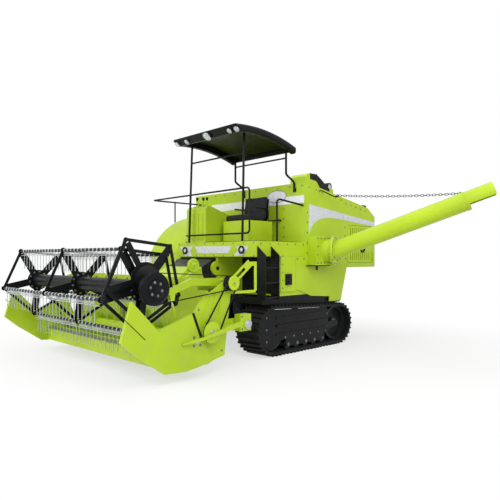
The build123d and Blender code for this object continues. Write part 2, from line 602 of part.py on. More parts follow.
# Unloading tube, with its spout cut open below, the hinge knuckle and the flange
with BuildPart() as unloader_tube:
    rod(flange_centre, flange_centre + swing * FLANGE, FLANGE_R)
    rod(flange_centre - auger_way * 10, auger_tip, UNLOADER_R)
    with BuildSketch(Plane(origin=flange_centre + swing * SEAT, z_dir=swing * -1)) as behind:
        Circle(2 * FLANGE_R)
    extrude(behind.sketch, amount=2 * FLANGE_R, mode=Mode.SUBTRACT)
    rod(hinge - Vector(0, 0, 135), hinge + Vector(0, 0, 135), KNUCKLE_R + 5, mode=Mode.SUBTRACT)
    rod(hinge - Vector(0, 0, 45), hinge + Vector(0, 0, 45), KNUCKLE_R)
    bar(hinge - Vector(0, 0, 45) - across * 30 + swing * 11, hinge + Vector(0, 0, 45) - across * 30 + swing * 11, 30, 21.4,
        x_dir=across)
    rod(hinge - Vector(0, 0, 46), hinge + Vector(0, 0, 46), KNUCKLE_PIN_R + SEAT, mode=Mode.SUBTRACT)
    spout_start = auger_tip - auger_way * SPOUT
    rod(spout_start - auger_way * 45, spout_start - auger_way * 20, UNLOADER_R + 8)
    rod(spout_start, auger_tip - auger_way * 12, UNLOADER_R - 10, mode=Mode.SUBTRACT)
    with BuildSketch(Plane(origin=spout_start, x_dir=across, z_dir=auger_way)) as below:
        with Locations((0, -SPOUT_CUT - UNLOADER_R)):
            Rectangle(3 * UNLOADER_R, 2 * UNLOADER_R)
    extrude(below.sketch, amount=SPOUT + 1, mode=Mode.SUBTRACT)
save(unloader_tube.part, "unloader_tube")

chain_top = Vector(hinge.X, hinge.Y, CHAIN_Z)
chain_end = flange_centre + auger_way * CHAIN_REACH + Vector(0, 0, UNLOADER_R / cos(rise) - 5)
with BuildPart() as unloader_chain:
    rod(chain_top, chain_end, CHAIN_WIRE_R)
    rod(chain_top - Vector(0, 0, 10), chain_top + Vector(0, 0, 10), 20)
    rod(chain_top - Vector(0, 0, 40), chain_top + Vector(0, 0, 40), CHAIN_PIN_R + SEAT, mode=Mode.SUBTRACT)
    add(unloader_tube.part, mode=Mode.SUBTRACT)
save(unloader_chain.part, "unloader_chain")

# Stay from the tank wall to the chain's pin, over the tube's hinge
with BuildPart() as chain_stay:
    foot = chain_top - Vector(0, 0, 10 + SEAT + STAY_R)
    bend = foot + Vector(-30, -70, 0)
    bent_tube([(BODY_HALF, 400, 2760), (BODY_HALF + 60, 400, 2760), (bend.X, bend.Y, bend.Z),
               (foot.X, foot.Y, foot.Z)], STAY_R, 30)
    rod(foot - Vector(0, 0, STAY_R), foot + Vector(0, 0, STAY_R), 18)
    rod(foot, chain_top + Vector(0, 0, 24), CHAIN_PIN_R)
save(chain_stay.part, "chain_stay")

# Feeder house: a closed conveyor casing, round about its upper shaft
feeder_rear_top, feeder_rear_low = LIFT_Z + FEEDER_R, LIFT_Z - FEEDER_R
FEEDER_MOUTH = (330, 950)
with BuildPart() as feeder_house:
    disc(-FEEDER_HALF, FEEDER_HALF, LIFT_Y, LIFT_Z, FEEDER_R)
    side_solid([(LIFT_Y, feeder_rear_top), (BACK_Y, FEEDER_MOUTH[1]), (BACK_Y, FEEDER_MOUTH[0]),
                (LIFT_Y, feeder_rear_low)], -FEEDER_HALF, FEEDER_HALF)
    block((-FEEDER_HALF + 30, FEEDER_HALF - 30), (BACK_Y, BACK_Y + 260),
          (FEEDER_MOUTH[0] + 170, FEEDER_MOUTH[1] - 170), mode=Mode.SUBTRACT)
    disc(-FEEDER_HALF - 60, FEEDER_HALF + 60, LIFT_Y, LIFT_Z, 35)
    for side in (-1, 1):
        for x in (side * LIFT_X - 34, side * LIFT_X + 34):
            side_solid([(LIFT_EYE[0] - 40, LIFT_EYE[1] - 30), (LIFT_EYE[0] + 40, LIFT_EYE[1] - 30),
                        (LIFT_EYE[0] + 70, 820), (LIFT_EYE[0] - 70, 820)], x - 8, x + 8)
        disc(side * LIFT_X - 34, side * LIFT_X + 34, *LIFT_EYE, LIFT_PIN_R)
save(feeder_house.part, "feeder_house")

# Header trough: front sill, floor curved under the auger, back sheet and top tube
with BuildPart() as header_trough:
    trough_r = AUGER_R + 24
    back_face = BACK_Y - BACK_SHEET
    with BuildSketch(Plane.YZ.offset(-TROUGH_HALF)) as profile:
        with BuildLine():
            Polyline((back_face, AUGER_Z), (back_face, BACK_TOP), (BACK_Y, BACK_TOP), (BACK_Y, SILL_BOTTOM),
                     (LIP_Y - 60, SILL_BOTTOM), (LIP_Y, LIP_Z), (AUGER_Y - 180, LIP_Z))
            ThreePointArc((AUGER_Y - 180, LIP_Z), (AUGER_Y, AUGER_Z - trough_r), (back_face, AUGER_Z))
        make_face()
    extrude(profile.sketch, amount=2 * TROUGH_HALF)
    block((-FEEDER_HALF, FEEDER_HALF), (back_face - 5, BACK_Y + 5),
          (FEEDER_MOUTH[0] + 10, FEEDER_MOUTH[1] - 50), mode=Mode.SUBTRACT)
    tube_half = ARM_X - 65
    for side in (-1, 1):
        block(sorted((side * tube_half, side * (TROUGH_HALF + 1))), (back_face - 1, BACK_Y + 1),
              (BACK_TOP - 60, BACK_TOP + 1), mode=Mode.SUBTRACT)
    block((-tube_half, tube_half), (back_face - 10, back_face - 10 + TOP_TUBE), (BACK_TOP, BACK_TOP + TOP_TUBE))
    for side in (-1, 1):
        xs = sorted((side * (tube_half - BRACKET), side * tube_half))
        side_solid([(BACK_Y, BACK_TOP - 100), (BACK_Y, BACK_TOP + TOP_TUBE), (ARM_Y, ARM_Z + 60),
                    (ARM_Y + 60, ARM_Z), (ARM_Y, ARM_Z - 60)], xs[0], xs[1])
    disc(tube_half - BRACKET - 5, tube_half + 5, ARM_Y, ARM_Z, PIVOT_R + SEAT, mode=Mode.SUBTRACT)
    disc(-ARM_X - ARM_WIDTH - 5, -tube_half + 5, ARM_Y, ARM_Z, PIVOT_R)
save(header_trough.part, "header_trough")

# Idler disc on a bracket over the header's top tube
with BuildPart() as header_idler:
    x = IDLER_X
    side_solid([(BACK_Y - 30, BACK_TOP + TOP_TUBE), (BACK_Y + 60, BACK_TOP + TOP_TUBE),
                (IDLER_DISC_Y + 30, IDLER_DISC_Z - 10), (IDLER_DISC_Y - 20, IDLER_DISC_Z + 25)], x - 6, x + 6)
    disc(x + 6, x + 30, IDLER_DISC_Y, IDLER_DISC_Z, 22)
    disc(x + 14, x + 34, IDLER_DISC_Y, IDLER_DISC_Z, IDLER_DISC_R)
    disc(x + 30, x + 35, IDLER_DISC_Y, IDLER_DISC_Z, IDLER_DISC_R - 14, mode=Mode.SUBTRACT)
    disc(x + 6, x + 38, IDLER_DISC_Y, IDLER_DISC_Z, 26)
save(header_idler.part, "header_idler")

# Crop dividers: the header's end panels, with the raised front fin
DIVIDER_TOP_REAR, DIVIDER_FOOT_REAR = (-2690, 870), (-2400, 197)
divider_outline = [(-3760, 603), (-3616, 1070), (-3250, 692), DIVIDER_TOP_REAR, DIVIDER_FOOT_REAR,
                   (-2834, 134), (-3151, 149), (-3549, 425)]
for side_name, side in (("left", 1), ("right", -1)):
    with BuildPart() as divider:
        xs = sorted((side * TROUGH_HALF, side * HEADER_HALF))
        side_solid(divider_outline, xs[0], xs[1])
        disc(xs[0] - 1, xs[1] + 1, AUGER_Y, AUGER_Z, 30 + SEAT, mode=Mode.SUBTRACT)
    save(divider.part, f"{side_name}_divider")

# Pins on the dividers' inner faces that the reel cylinders turn on
foot_pins = []
for side in (-1, 1):
    with BuildPart(mode=Mode.PRIVATE) as foot_pin:
        disc(*sorted((side * (REEL_CYL_X - 22), side * TROUGH_HALF)), *REEL_FOOT, REEL_PIN_R)
        disc(*sorted((side * (TROUGH_HALF - 12), side * TROUGH_HALF)), *REEL_FOOT, 2.5 * REEL_PIN_R)
    foot_pins.append(foot_pin.part)
save(Compound(children=foot_pins), "reel_foot_pins")

# Cutter bar: a strip with one pointed guard each pitch
with BuildPart() as cutter_bar:
    guards = int(2 * (TROUGH_HALF - 40) / GUARD_PITCH)
    with BuildSketch(Plane.XY.offset(LIP_Z + SEAT)) as comb:
        with Locations((0, LIP_Y + 35)):
            Rectangle(2 * TROUGH_HALF - 20, 70)
        for i in range(guards):
            x = (i - (guards - 1) / 2) * GUARD_PITCH
            with BuildLine():
                Polyline((x - 16, LIP_Y + 1), (x - 3, LIP_Y - GUARD_LENGTH), (x + 3, LIP_Y - GUARD_LENGTH),
                         (x + 16, LIP_Y + 1), close=True)
            make_face()
    extrude(comb.sketch, amount=KNIFE)
save(cutter_bar.part, "cutter_bar")


# Header auger: drum, two screw flights running inwards and retractable fingers
def flight(start_x, length, hand):
    steps = round(abs(length) / FLIGHT_PITCH * 10)
    faces = []
    for i in range(steps + 1):
        x = start_x + length * i / steps
        turn = hand * 360 * length / FLIGHT_PITCH * i / steps
        middle = (DRUM_R - 6 + AUGER_R) / 2
        out = Vector(0, cos(radians(turn)), sin(radians(turn)))
        at = Vector(x, AUGER_Y, AUGER_Z) + out * middle
        side_way = Vector(0, -out.Z, out.Y) * hand
        with BuildSketch(Plane(origin=at, x_dir=out, z_dir=side_way)) as section_face:
            Rectangle(AUGER_R - DRUM_R + 6, FLIGHT)
        faces.append(section_face.sketch.faces()[0])
    return loft(faces, ruled=True)


with BuildPart() as header_auger:
    disc(-TROUGH_HALF + 12, TROUGH_HALF - 12, AUGER_Y, AUGER_Z, DRUM_R)
    disc(-HEADER_HALF, HEADER_HALF, AUGER_Y, AUGER_Z, 30)
    flight(-FLIGHT_OUTER, FLIGHT_OUTER - FLIGHT_INNER, 1)
    flight(FLIGHT_OUTER, FLIGHT_INNER - FLIGHT_OUTER, 1)
    for i in range(12):
        x = -385 + 70 * i
        turn = radians(120 * i)
        out = Vector(0, cos(turn), sin(turn))
        centre = Vector(x, AUGER_Y, AUGER_Z)
        rod(centre + out * (DRUM_R - 5), centre + out * (AUGER_R - 8), FINGER_R)
save(header_auger.part, "header_auger")

# Reel arms: a bent beam on each side from the pivot to the reel's bearing
with BuildPart() as reel_arms:
    for side in (-1, 1):
        xs = sorted((side * ARM_X, side * (ARM_X + ARM_WIDTH)))
        half = ARM_DEPTH / 2
        side_solid([(ARM_Y, ARM_Z - half), (-2640, 1212), (-2960, 1105), (REEL_Y, REEL_Z - half),
                    (REEL_Y, REEL_Z + half), (-2960, 1190), (-2640, 1305), (ARM_Y, ARM_Z + half)], xs[0], xs[1])
        disc(xs[0], xs[1], ARM_Y, ARM_Z, 55)
        disc(xs[0], xs[1], REEL_Y, REEL_Z, 60)
        lug = [(REEL_EYE[0] - 26, REEL_EYE[1] - 25), (REEL_EYE[0] + 26, REEL_EYE[1] - 25),
               (REEL_EYE[0] + 45, 1125), (REEL_EYE[0] - 45, 1125)]
        for x in (xs[0], xs[1] - 8):
            side_solid(lug, x, x + 8)
        disc(xs[0], xs[1], *REEL_EYE, REEL_PIN_R)
        disc(xs[0] - 1, xs[1] + 1, ARM_Y, ARM_Z, PIVOT_R + SEAT, mode=Mode.SUBTRACT)
        if side == 1:
            disc(BAT_HALF + CRANK, ARM_X, REEL_Y + CONTROL_Y, REEL_Z + CONTROL_Z, CONTROL_DISC_R)
        disc(*sorted((side * (BAT_HALF - 5), side * (ARM_X + ARM_WIDTH + 1))), REEL_Y, REEL_Z,
             REEL_SHAFT_R + SEAT, mode=Mode.SUBTRACT)
save(reel_arms.part, "reel_arms")

# Jackshaft on the arms' pivot, and the lower pulley
with BuildPart() as jackshaft:
    disc(ARM_X - 65 - BRACKET, LOWER_BELT_X + 20, ARM_Y, ARM_Z, PIVOT_R)
    for x, radius in ((REEL_BELT_X, JACK_PULLEY_R), (LOWER_BELT_X, JACK_DISC_R)):
        disc(x - 20, x + 20, ARM_Y, ARM_Z, radius)
        disc(x - 12, x + 12, ARM_Y, ARM_Z, radius + 1, mode=Mode.SUBTRACT)
        disc(x - 12, x + 12, ARM_Y, ARM_Z, radius - GROOVE)
save(jackshaft.part, "jackshaft")

# Drive frame behind the left divider: a ribbed plate with the jackshaft's bearing and the lower pulley
with BuildPart() as drive_frame:
    x0, x1 = TROUGH_HALF, TROUGH_HALF + 20
    side_solid([DIVIDER_TOP_REAR, (-2573, 1030), (ARM_Y - 70, ARM_Z + 20), (ARM_Y, ARM_Z + 70),
                (ARM_Y + 70, ARM_Z), (-2090, 700), (-2150, 250), DIVIDER_FOOT_REAR], x0, x1)
    for start, end in (((-2545, 850), (-2350, 1115)), ((-2420, 800), (-2280, 1150)), ((-2270, 820), (-2190, 1140))):
        bar((x1 + 6, *start), (x1 + 6, *end), 14, 16)
    disc(x0 - 1, x1 + 1, ARM_Y, ARM_Z, PIVOT_R + SEAT, mode=Mode.SUBTRACT)
    disc(x1, LOWER_BELT_X + 20, LOWER_PULLEY_Y, LOWER_PULLEY_Z, 22)
    x = LOWER_BELT_X
    disc(x - 20, x + 20, LOWER_PULLEY_Y, LOWER_PULLEY_Z, LOWER_PULLEY_R)
    disc(x - 12, x + 12, LOWER_PULLEY_Y, LOWER_PULLEY_Z, LOWER_PULLEY_R + 1, mode=Mode.SUBTRACT)
    disc(x - 12, x + 12, LOWER_PULLEY_Y, LOWER_PULLEY_Z, LOWER_PULLEY_R - GROOVE)
save(drive_frame.part, "drive_frame")

# Guard frame outside the belts: a slotted link from the jackshaft and an upright bar behind it
with BuildPart() as drive_guard:
    link = Vector(0, GUARD_Y - 111 - ARM_Y, GUARD_Z - ARM_Z)
    way = link.normalized()
    high = Vector(0, -way.Z, way.Y)
    hub = Vector((GUARD_X[0] + GUARD_X[1]) / 2, ARM_Y, ARM_Z)
    width = GUARD_X[1] - GUARD_X[0]
    disc(*GUARD_X, ARM_Y, ARM_Z, 62)
    for side in (-1, 1):
        bar(hub + high * side * 40, hub + link + high * side * 40, width, 30)
    bar(hub + link * 0.72, hub + link, width, 110)
    block(GUARD_X, (GUARD_Y - 150, GUARD_Y + 22), (GUARD_Z - 40, GUARD_Z + 20))
    block(GUARD_X, (GUARD_Y - 22, GUARD_Y + 22), (1110, GUARD_Z))
    block(GUARD_X, (-2075, GUARD_Y), (1084, 1122))
    block((TROUGH_HALF + 20, GUARD_X[0]), (-2075, -2040), (1084, 1120))
    disc(GUARD_X[0] - 1, GUARD_X[1] + 1, ARM_Y, ARM_Z, PIVOT_R + SEAT, mode=Mode.SUBTRACT)
save(drive_guard.part, "drive_guard")


def belt(x, first, second):
    """A belt round two pulleys, each given as (y, z, groove radius)."""
    with BuildSketch(Plane.YZ.offset(x - BELT_WIDTH / 2)) as loop:
        for y, z, radius in (first, second):
            with Locations((y, z)):
                Circle(radius + SEAT + BELT_DEPTH)
        make_hull()
        inside = loop.sketch.faces()[0]
        offset(loop.faces(), amount=-BELT_DEPTH, mode=Mode.REPLACE)
    with BuildSketch(Plane.YZ.offset(x - BELT_WIDTH / 2)) as outer:
        for y, z, radius in (first, second):
            with Locations((y, z)):
                Circle(radius + SEAT + BELT_DEPTH)
        make_hull()
    extrude(outer.sketch, amount=BELT_WIDTH)
    extrude(loop.sketch, amount=BELT_WIDTH, mode=Mode.SUBTRACT)


with BuildPart() as reel_belt:
    belt(REEL_BELT_X, (ARM_Y, ARM_Z, JACK_PULLEY_R - GROOVE), (REEL_Y, REEL_Z, REEL_PULLEY_R - GROOVE))
save(reel_belt.part, "reel_belt")
with BuildPart() as lower_belt:
    belt(LOWER_BELT_X, (ARM_Y, ARM_Z, JACK_DISC_R - GROOVE),
         (LOWER_PULLEY_Y, LOWER_PULLEY_Z, LOWER_PULLEY_R - GROOVE))
save(lower_belt.part, "lower_belt")

# Knife drive: a tapered bar bent round the lower pulley, with its crank box at the rear
BAR_X = (LOWER_BELT_X + 28, LOWER_BELT_X + 52)
with BuildPart() as knife_drive:
    side_solid([(-2900, 478), (-2900, 500), (-1960, 715), (-1960, 640)], HEADER_HALF, BAR_X[1])
    with BuildSketch(Plane.XY.offset(400)) as plan:
        with BuildLine():
            Polyline((HEADER_HALF + 1, -2900), (BAR_X[0], -2620), (BAR_X[0], -1960), (BAR_X[1], -1960),
                     (BAR_X[1], -2630), (HEADER_HALF + 26, -2900), close=True)
        make_face()
    extrude(plan.sketch, amount=500, mode=Mode.INTERSECT)
    block((HEADER_HALF, BAR_X[1]), (-1990, -1790), (570, 800))
    block((TROUGH_HALF + 20, HEADER_HALF), (-1960, -1880), (640, 720))
    block((TROUGH_HALF + 20, TROUGH_HALF + 34), (-2170, -1880), (620, 740))
    disc(BAR_X[1], BAR_X[1] + 22, -1865, 660, 70)
save(knife_drive.part, "knife_drive")

# Reel core: the tube and its spiders
CORE_HALF = SPIDER_X[-1] + 15
with BuildPart() as reel_core:
    disc(-CORE_HALF, CORE_HALF, REEL_Y, REEL_Z, REEL_TUBE_R)
    for x in SPIDER_X:
        with BuildSketch(Plane.YZ.offset(x - SPIDER / 2)) as spider:
            with Locations((REEL_Y, REEL_Z)):
                Circle(HUB_R)
                RegularPolygon(REEL_R + 24, BATS, rotation=180 - BAT_ANGLE)
                RegularPolygon(REEL_R + 24 - RIM, BATS, rotation=180 - BAT_ANGLE, mode=Mode.SUBTRACT)
                Circle(HUB_R)
            for i in range(BATS):
                turn = 180 - (BAT_ANGLE + i * 360 / BATS)
                way = Vector(cos(radians(turn)), sin(radians(turn)), 0)
                length = REEL_R - 45
                mid = Vector(REEL_Y, REEL_Z, 0) + way * (length / 2)
                with Locations(Location((mid.X, mid.Y, 0), (0, 0, turn))):
                    Rectangle(length, SPOKE)
            with Locations((REEL_Y, REEL_Z)):
                with PolarLocations(REEL_R, BATS, start_angle=180 - BAT_ANGLE):
                    Circle(BAT_BOSS_R)
                    Circle(BAT_R + SEAT, mode=Mode.SUBTRACT)
        extrude(spider.sketch, amount=SPIDER)
save(reel_core.part, "reel_core")

# Reel shaft stubs on the tube's two ends, the left one with the belt pulley
stubs = []
with BuildPart(mode=Mode.PRIVATE) as left_stub:
    x = REEL_BELT_X
    disc(CORE_HALF, x + 25, REEL_Y, REEL_Z, REEL_SHAFT_R)
    disc(x - 25, x + 25, REEL_Y, REEL_Z, REEL_PULLEY_R)
    disc(x - 12, x + 12, REEL_Y, REEL_Z, REEL_PULLEY_R + 1, mode=Mode.SUBTRACT)
    disc(x - 12, x + 12, REEL_Y, REEL_Z, REEL_PULLEY_R - GROOVE)
stubs.append(left_stub.part)
with BuildPart(mode=Mode.PRIVATE) as right_stub:
    disc(-ARM_X - ARM_WIDTH - 15, -CORE_HALF, REEL_Y, REEL_Z, REEL_SHAFT_R)
stubs.append(right_stub.part)
save(Compound(children=stubs), "reel_pulley")


def bat_place(i):
    turn = radians(BAT_ANGLE + i * 360 / BATS)
    return REEL_Y - REEL_R * cos(turn), REEL_Z + REEL_R * sin(turn)


# Bats: each a tube with its tines, turned by a crank at its left end
tine_count = 2 * round((SPIDER_X[-1] - 60) / TINE_PITCH)
for i in range(BATS):
    y, z = bat_place(i)
    with BuildPart() as bat:
        disc(-BAT_HALF, BAT_HALF, y, z, BAT_R)
        for k in range(tine_count):
            x = (k - (tine_count - 1) / 2) * TINE_PITCH
            block((x - TINE / 2, x + TINE / 2), (y - TINE / 2, y + TINE / 2), (z - TINE_LENGTH, z - 10))
        for side in (-1, 1):
            block(sorted((side * 25, side * (SPIDER_X[-1] - 25))), (y - 6, y + 6),
                  (z - STRIP_DROP - 4, z - STRIP_DROP + 4))
        reach = hypot(CONTROL_Y, CONTROL_Z)
        with BuildSketch(Plane.YZ.offset(BAT_HALF)) as crank:
            with Locations((y, z)):
                Circle(24)
            with Locations((y + CONTROL_Y, z + CONTROL_Z)):
                Circle(20)
            make_hull()
        extrude(crank.sketch, amount=CRANK)
        disc(BAT_HALF + CRANK, BAT_HALF + CRANK + 24, y + CONTROL_Y, z + CONTROL_Z, CRANK_PIN_R)
    save(bat.part, f"reel_bat_{i + 1}")

# Bat control ring: it turns about an offset centre, so the cranks keep the tines upright
with BuildPart() as reel_control:
    centre = (REEL_Y + CONTROL_Y, REEL_Z + CONTROL_Z)
    with BuildSketch(Plane.YZ.offset(BAT_HALF + CRANK + 4)) as ring:
        with Locations(centre):
            RegularPolygon(REEL_R + 24, BATS, rotation=180 - BAT_ANGLE)
            RegularPolygon(REEL_R + 24 - RIM, BATS, rotation=180 - BAT_ANGLE, mode=Mode.SUBTRACT)
            Circle(CONTROL_DISC_R + 40)
        for i in range(BATS):
            turn = 180 - (BAT_ANGLE + i * 360 / BATS)
            way = Vector(cos(radians(turn)), sin(radians(turn)), 0)
            length = REEL_R - 45 - CONTROL_DISC_R
            mid = Vector(*centre, 0) + way * (CONTROL_DISC_R + length / 2)
            with Locations(Location((mid.X, mid.Y, 0), (0, 0, turn))):
                Rectangle(length, SPOKE * 0.7)
        with Locations(centre):
            Circle(CONTROL_DISC_R + SEAT, mode=Mode.SUBTRACT)
            with PolarLocations(REEL_R, BATS, start_angle=180 - BAT_ANGLE):
                Circle(PIN_BOSS_R)
                Circle(CRANK_PIN_R + SEAT, mode=Mode.SUBTRACT)
    extrude(ring.sketch, amount=SPIDER)
save(reel_control.part, "reel_control")


# Cylinders: barrel from its foot, rod to its eye
def cylinder(x, foot, eye, bore, pin, barrel_share, inside, drift):
    """Return the barrel and the rod as two solids along the line from foot to eye."""
    start, end = Vector(x, *foot), Vector(x, *eye)
    way = (end - start).normalized()
    length = (end - start).length
    wall = bore * 0.5
    tip = start + way * (length * barrel_share)
    with BuildPart(mode=Mode.PRIVATE) as barrel:
        rod(start + way * (bore * 0.5), tip, bore + wall)
        rod(start + way * (bore * 2), tip + way, bore + SEAT, mode=Mode.SUBTRACT)
        disc(x - bore, x + bore, *foot, bore + 12)
        disc(x - bore - wall - 1, x + bore + wall + 1, *foot, pin + SEAT, mode=Mode.SUBTRACT)
    with BuildPart(mode=Mode.PRIVATE) as piston:
        rod(start + way * inside, end - way * (pin + drift + 5), bore)
        disc(x - bore * 0.8, x + bore * 0.8, *eye, pin + drift + bore)
        disc(x - bore, x + bore, *eye, pin + drift, mode=Mode.SUBTRACT)
    return barrel.part, piston.part


for name, x, foot, eye, bore, pin, share, inside, drift in (
    ("lift", LIFT_X, LIFT_FOOT, LIFT_EYE, LIFT_BORE, LIFT_PIN_R, 0.56, 300, 3.5),
    ("reel", REEL_CYL_X, REEL_FOOT, REEL_EYE, REEL_BORE, REEL_PIN_R, 0.86, 45, REEL_DRIFT),
):
    barrels, rods = [], []
    for side in (-1, 1):
        barrel_part, rod_part = cylinder(side * x, foot, eye, bore, pin, share, inside, drift)
        barrels.append(barrel_part)
        rods.append(rod_part)
    save(Compound(children=barrels), f"{name}_barrels")
    save(Compound(children=rods), f"{name}_rods")
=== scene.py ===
# %% [markdown]
# A tracked combine harvester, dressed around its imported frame. The frame brings every rigid part
# in its right place, in metres. This script adds the finish of each part and the small things that
# a buyer would look for: chain links, bolts, lamp glasses, spring tines, the seat's cushions and
# the silver bands.

# %% Load the frame
import json
from math import copysign, cos, exp, pi, radians, sin

import bmesh
import bpy
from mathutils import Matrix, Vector


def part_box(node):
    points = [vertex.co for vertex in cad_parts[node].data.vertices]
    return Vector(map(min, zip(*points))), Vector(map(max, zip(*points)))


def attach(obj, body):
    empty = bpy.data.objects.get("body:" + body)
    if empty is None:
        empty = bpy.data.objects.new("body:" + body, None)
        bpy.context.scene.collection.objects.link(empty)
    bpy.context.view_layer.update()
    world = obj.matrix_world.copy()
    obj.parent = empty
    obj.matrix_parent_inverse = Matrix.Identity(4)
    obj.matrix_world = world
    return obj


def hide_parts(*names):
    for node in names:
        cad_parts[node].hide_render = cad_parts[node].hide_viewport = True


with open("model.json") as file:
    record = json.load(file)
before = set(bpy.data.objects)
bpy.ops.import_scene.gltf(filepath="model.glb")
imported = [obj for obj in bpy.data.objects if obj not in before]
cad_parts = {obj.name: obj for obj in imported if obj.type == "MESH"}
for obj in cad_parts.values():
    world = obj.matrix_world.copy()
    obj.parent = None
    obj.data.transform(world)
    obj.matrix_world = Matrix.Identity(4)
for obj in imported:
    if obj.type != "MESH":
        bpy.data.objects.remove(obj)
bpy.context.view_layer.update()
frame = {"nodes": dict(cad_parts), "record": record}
NODES = frame["nodes"]
SLOT_OF = {part["node"]: part["material_slot"] for part in frame["record"]["subparts"]}
scene = bpy.context.scene
print("parts:", len(NODES), "triangles:", sum(len(o.data.polygons) for o in NODES.values()))

# %% [markdown]
# Things are placed from the machine's own centre plane. The grain tank is symmetric about it, and
# its front wall is 20 mm behind the middle of the tracks, so the tank's box gives the shift. Walls
# that many pieces sit on have names here.

# %% The machine's own frame
BODY_SIDE = 1.5
TANK_FRONT, TANK_REAR, HOOD_REAR = 0.02, 1.147, 2.245
DECK_FRONT = -1.2
tank_low, tank_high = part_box("grain_tank")
MACHINE = Vector(((tank_low.x + tank_high.x) / 2, tank_low.y - TANK_FRONT, 0))
X, Y, Z = Vector((1, 0, 0)), Vector((0, 1, 0)), Vector((0, 0, 1))


def at(x, y, z):
    """A point of the machine's own frame, in metres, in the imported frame."""
    return MACHINE + Vector((x, y, z))


def side_view(x, pairs):
    """Points on an upright plane along the machine, from (Y, Z) pairs."""
    return [at(x, y, z) for y, z in pairs]


def front_view(y, pairs):
    """Points on an upright plane across the machine, from (X, Z) pairs."""
    return [at(x, y, z) for x, z in pairs]


def top_view(z, pairs):
    """Points on a level plane, from (X, Y) pairs."""
    return [at(x, y, z) for x, y in pairs]


def oblong(a0, b0, a1, b1):
    """The corners of an oblong as pairs, for one of the views."""
    return [(a0, b0), (a1, b0), (a1, b1), (a0, b1)]


def turns(count, start=0.0):
    """Angles evenly round a circle."""
    return [start + 2 * pi * i / count for i in range(count)]


print("centre plane at X", round(MACHINE.x, 4), "track middle at Y", round(MACHINE.y, 4))

# %% [markdown]
# The photograph was taken level, from the left front. The camera's shift lowers the horizon a
# little without tilting the uprights.

# %% Camera
CAMERA_PLACE, CAMERA_YAW, LENS_MM, HORIZON_SHIFT = (6.898, -6.736, 1.59), 45, 36, 0.014


def add_object(name, data):
    """A new object in the scene."""
    thing = bpy.data.objects.new(name, data)
    scene.collection.objects.link(thing)
    return thing


camera = add_object("camera", bpy.data.cameras.new("camera"))
camera.location = at(*CAMERA_PLACE)
camera.rotation_euler = (radians(90), 0, radians(CAMERA_YAW))
camera.data.lens = camera.data.sensor_width = LENS_MM
camera.data.shift_y = HORIZON_SHIFT
camera.data.clip_end = 200
scene.camera = camera
scene.view_settings.view_transform = "Standard"
print("camera height:", CAMERA_PLACE[2])

# %% [markdown]
# A few very large soft lights suit a machine this large. The world adds even light at about half
# strength, and shows as pure white where it is seen itself, in glass and gloss as well.


# %% Light
def rgb(text):
    """Linear colour from a written hex colour."""
    value = [int(text[i:i + 2], 16) / 255 for i in (1, 3, 5)]
    return tuple(v / 12.92 if v <= 0.04045 else ((v + 0.055) / 1.055) ** 2.4 for v in value) + (1,)


def cleared(owner):
    """The emptied node tree of a world or a material."""
    owner.use_nodes = True
    owner.node_tree.nodes.clear()
    return owner.node_tree


class Tree:
    """A node tree, filled by one call that adds a node and gives its inputs values or links."""

    def __init__(self, tree, family="ShaderNode"):
        self.tree, self.family = tree, family

    def node(self, kind, inputs=None, **settings):
        made = self.tree.nodes.new(kind if "Node" in kind else self.family + kind)
        for key, value in settings.items():
            setattr(made, key, value)
        for key, value in (inputs or {}).items():
            if isinstance(value, bpy.types.NodeSocket):
                self.tree.links.new(value, made.inputs[key])
            else:
                made.inputs[key].default_value = value
        return made.outputs


def seen_directly(tree):
    """1 for rays that see the background itself, in glass and in gloss as well."""
    path = tree.node("LightPath")
    total = path["Is Camera Ray"]
    for name in ("Is Glossy Ray", "Is Transmission Ray"):
        total = tree.node("Math", {0: total, 1: path[name]}, operation="MAXIMUM")[0]
    return total


def softbox(name, place, target, size, power):
    """A large square area light that points at the machine."""
    light = add_object(name, bpy.data.lights.new(name, "AREA"))
    light.data.shape = "SQUARE"
    light.data.size = size
    light.data.energy = power
    light.location = at(*place)
    light.rotation_euler = (at(*target) - light.location).to_track_quat("-Z", "Y").to_euler()
    print(f"{name} light: {power} W over {size} m")


PURE_WHITE, WORLD_LIGHT = (1, 1, 1, 1), 0.48
scene.world = bpy.data.worlds.new("studio")
sky = Tree(cleared(scene.world))
even = sky.node("Background", {"Color": PURE_WHITE, "Strength": WORLD_LIGHT})[0]
white = sky.node("Background", {"Color": PURE_WHITE, "Strength": 1})[0]
both = sky.node("MixShader", {"Fac": seen_directly(sky), 1: even, 2: white})[0]
sky.node("OutputWorld", {"Surface": both})

softbox("key", (8.5, -5.0, 8.0), (0, -0.5, 1.2), 8, 730)
softbox("front", (-2.5, -11.0, 5.0), (0, -1.0, 1.2), 9, 590)
softbox("top", (0.0, 0.5, 9.0), (0, 0, 1), 8, 250)

# %% [markdown]
# The floor is a white sweep that keeps its shadow near the tracks and fades to white with
# distance, so that no horizon cuts across the picture.

# %% Floor
FLOOR_R, FLOOR_DROP, PAPER = 60, 0.002, (0.82, 0.82, 0.82, 1)
FADE_FROM, FADE_TO, FADE_NEAR = 2.5, 6.5, 0.62
floor = add_object("floor", bpy.data.meshes.new("floor"))
disc = bmesh.new()
bmesh.ops.create_circle(disc, cap_ends=True, radius=FLOOR_R, segments=64)
disc.to_mesh(floor.data)
disc.free()
floor.location.z = -FLOOR_DROP

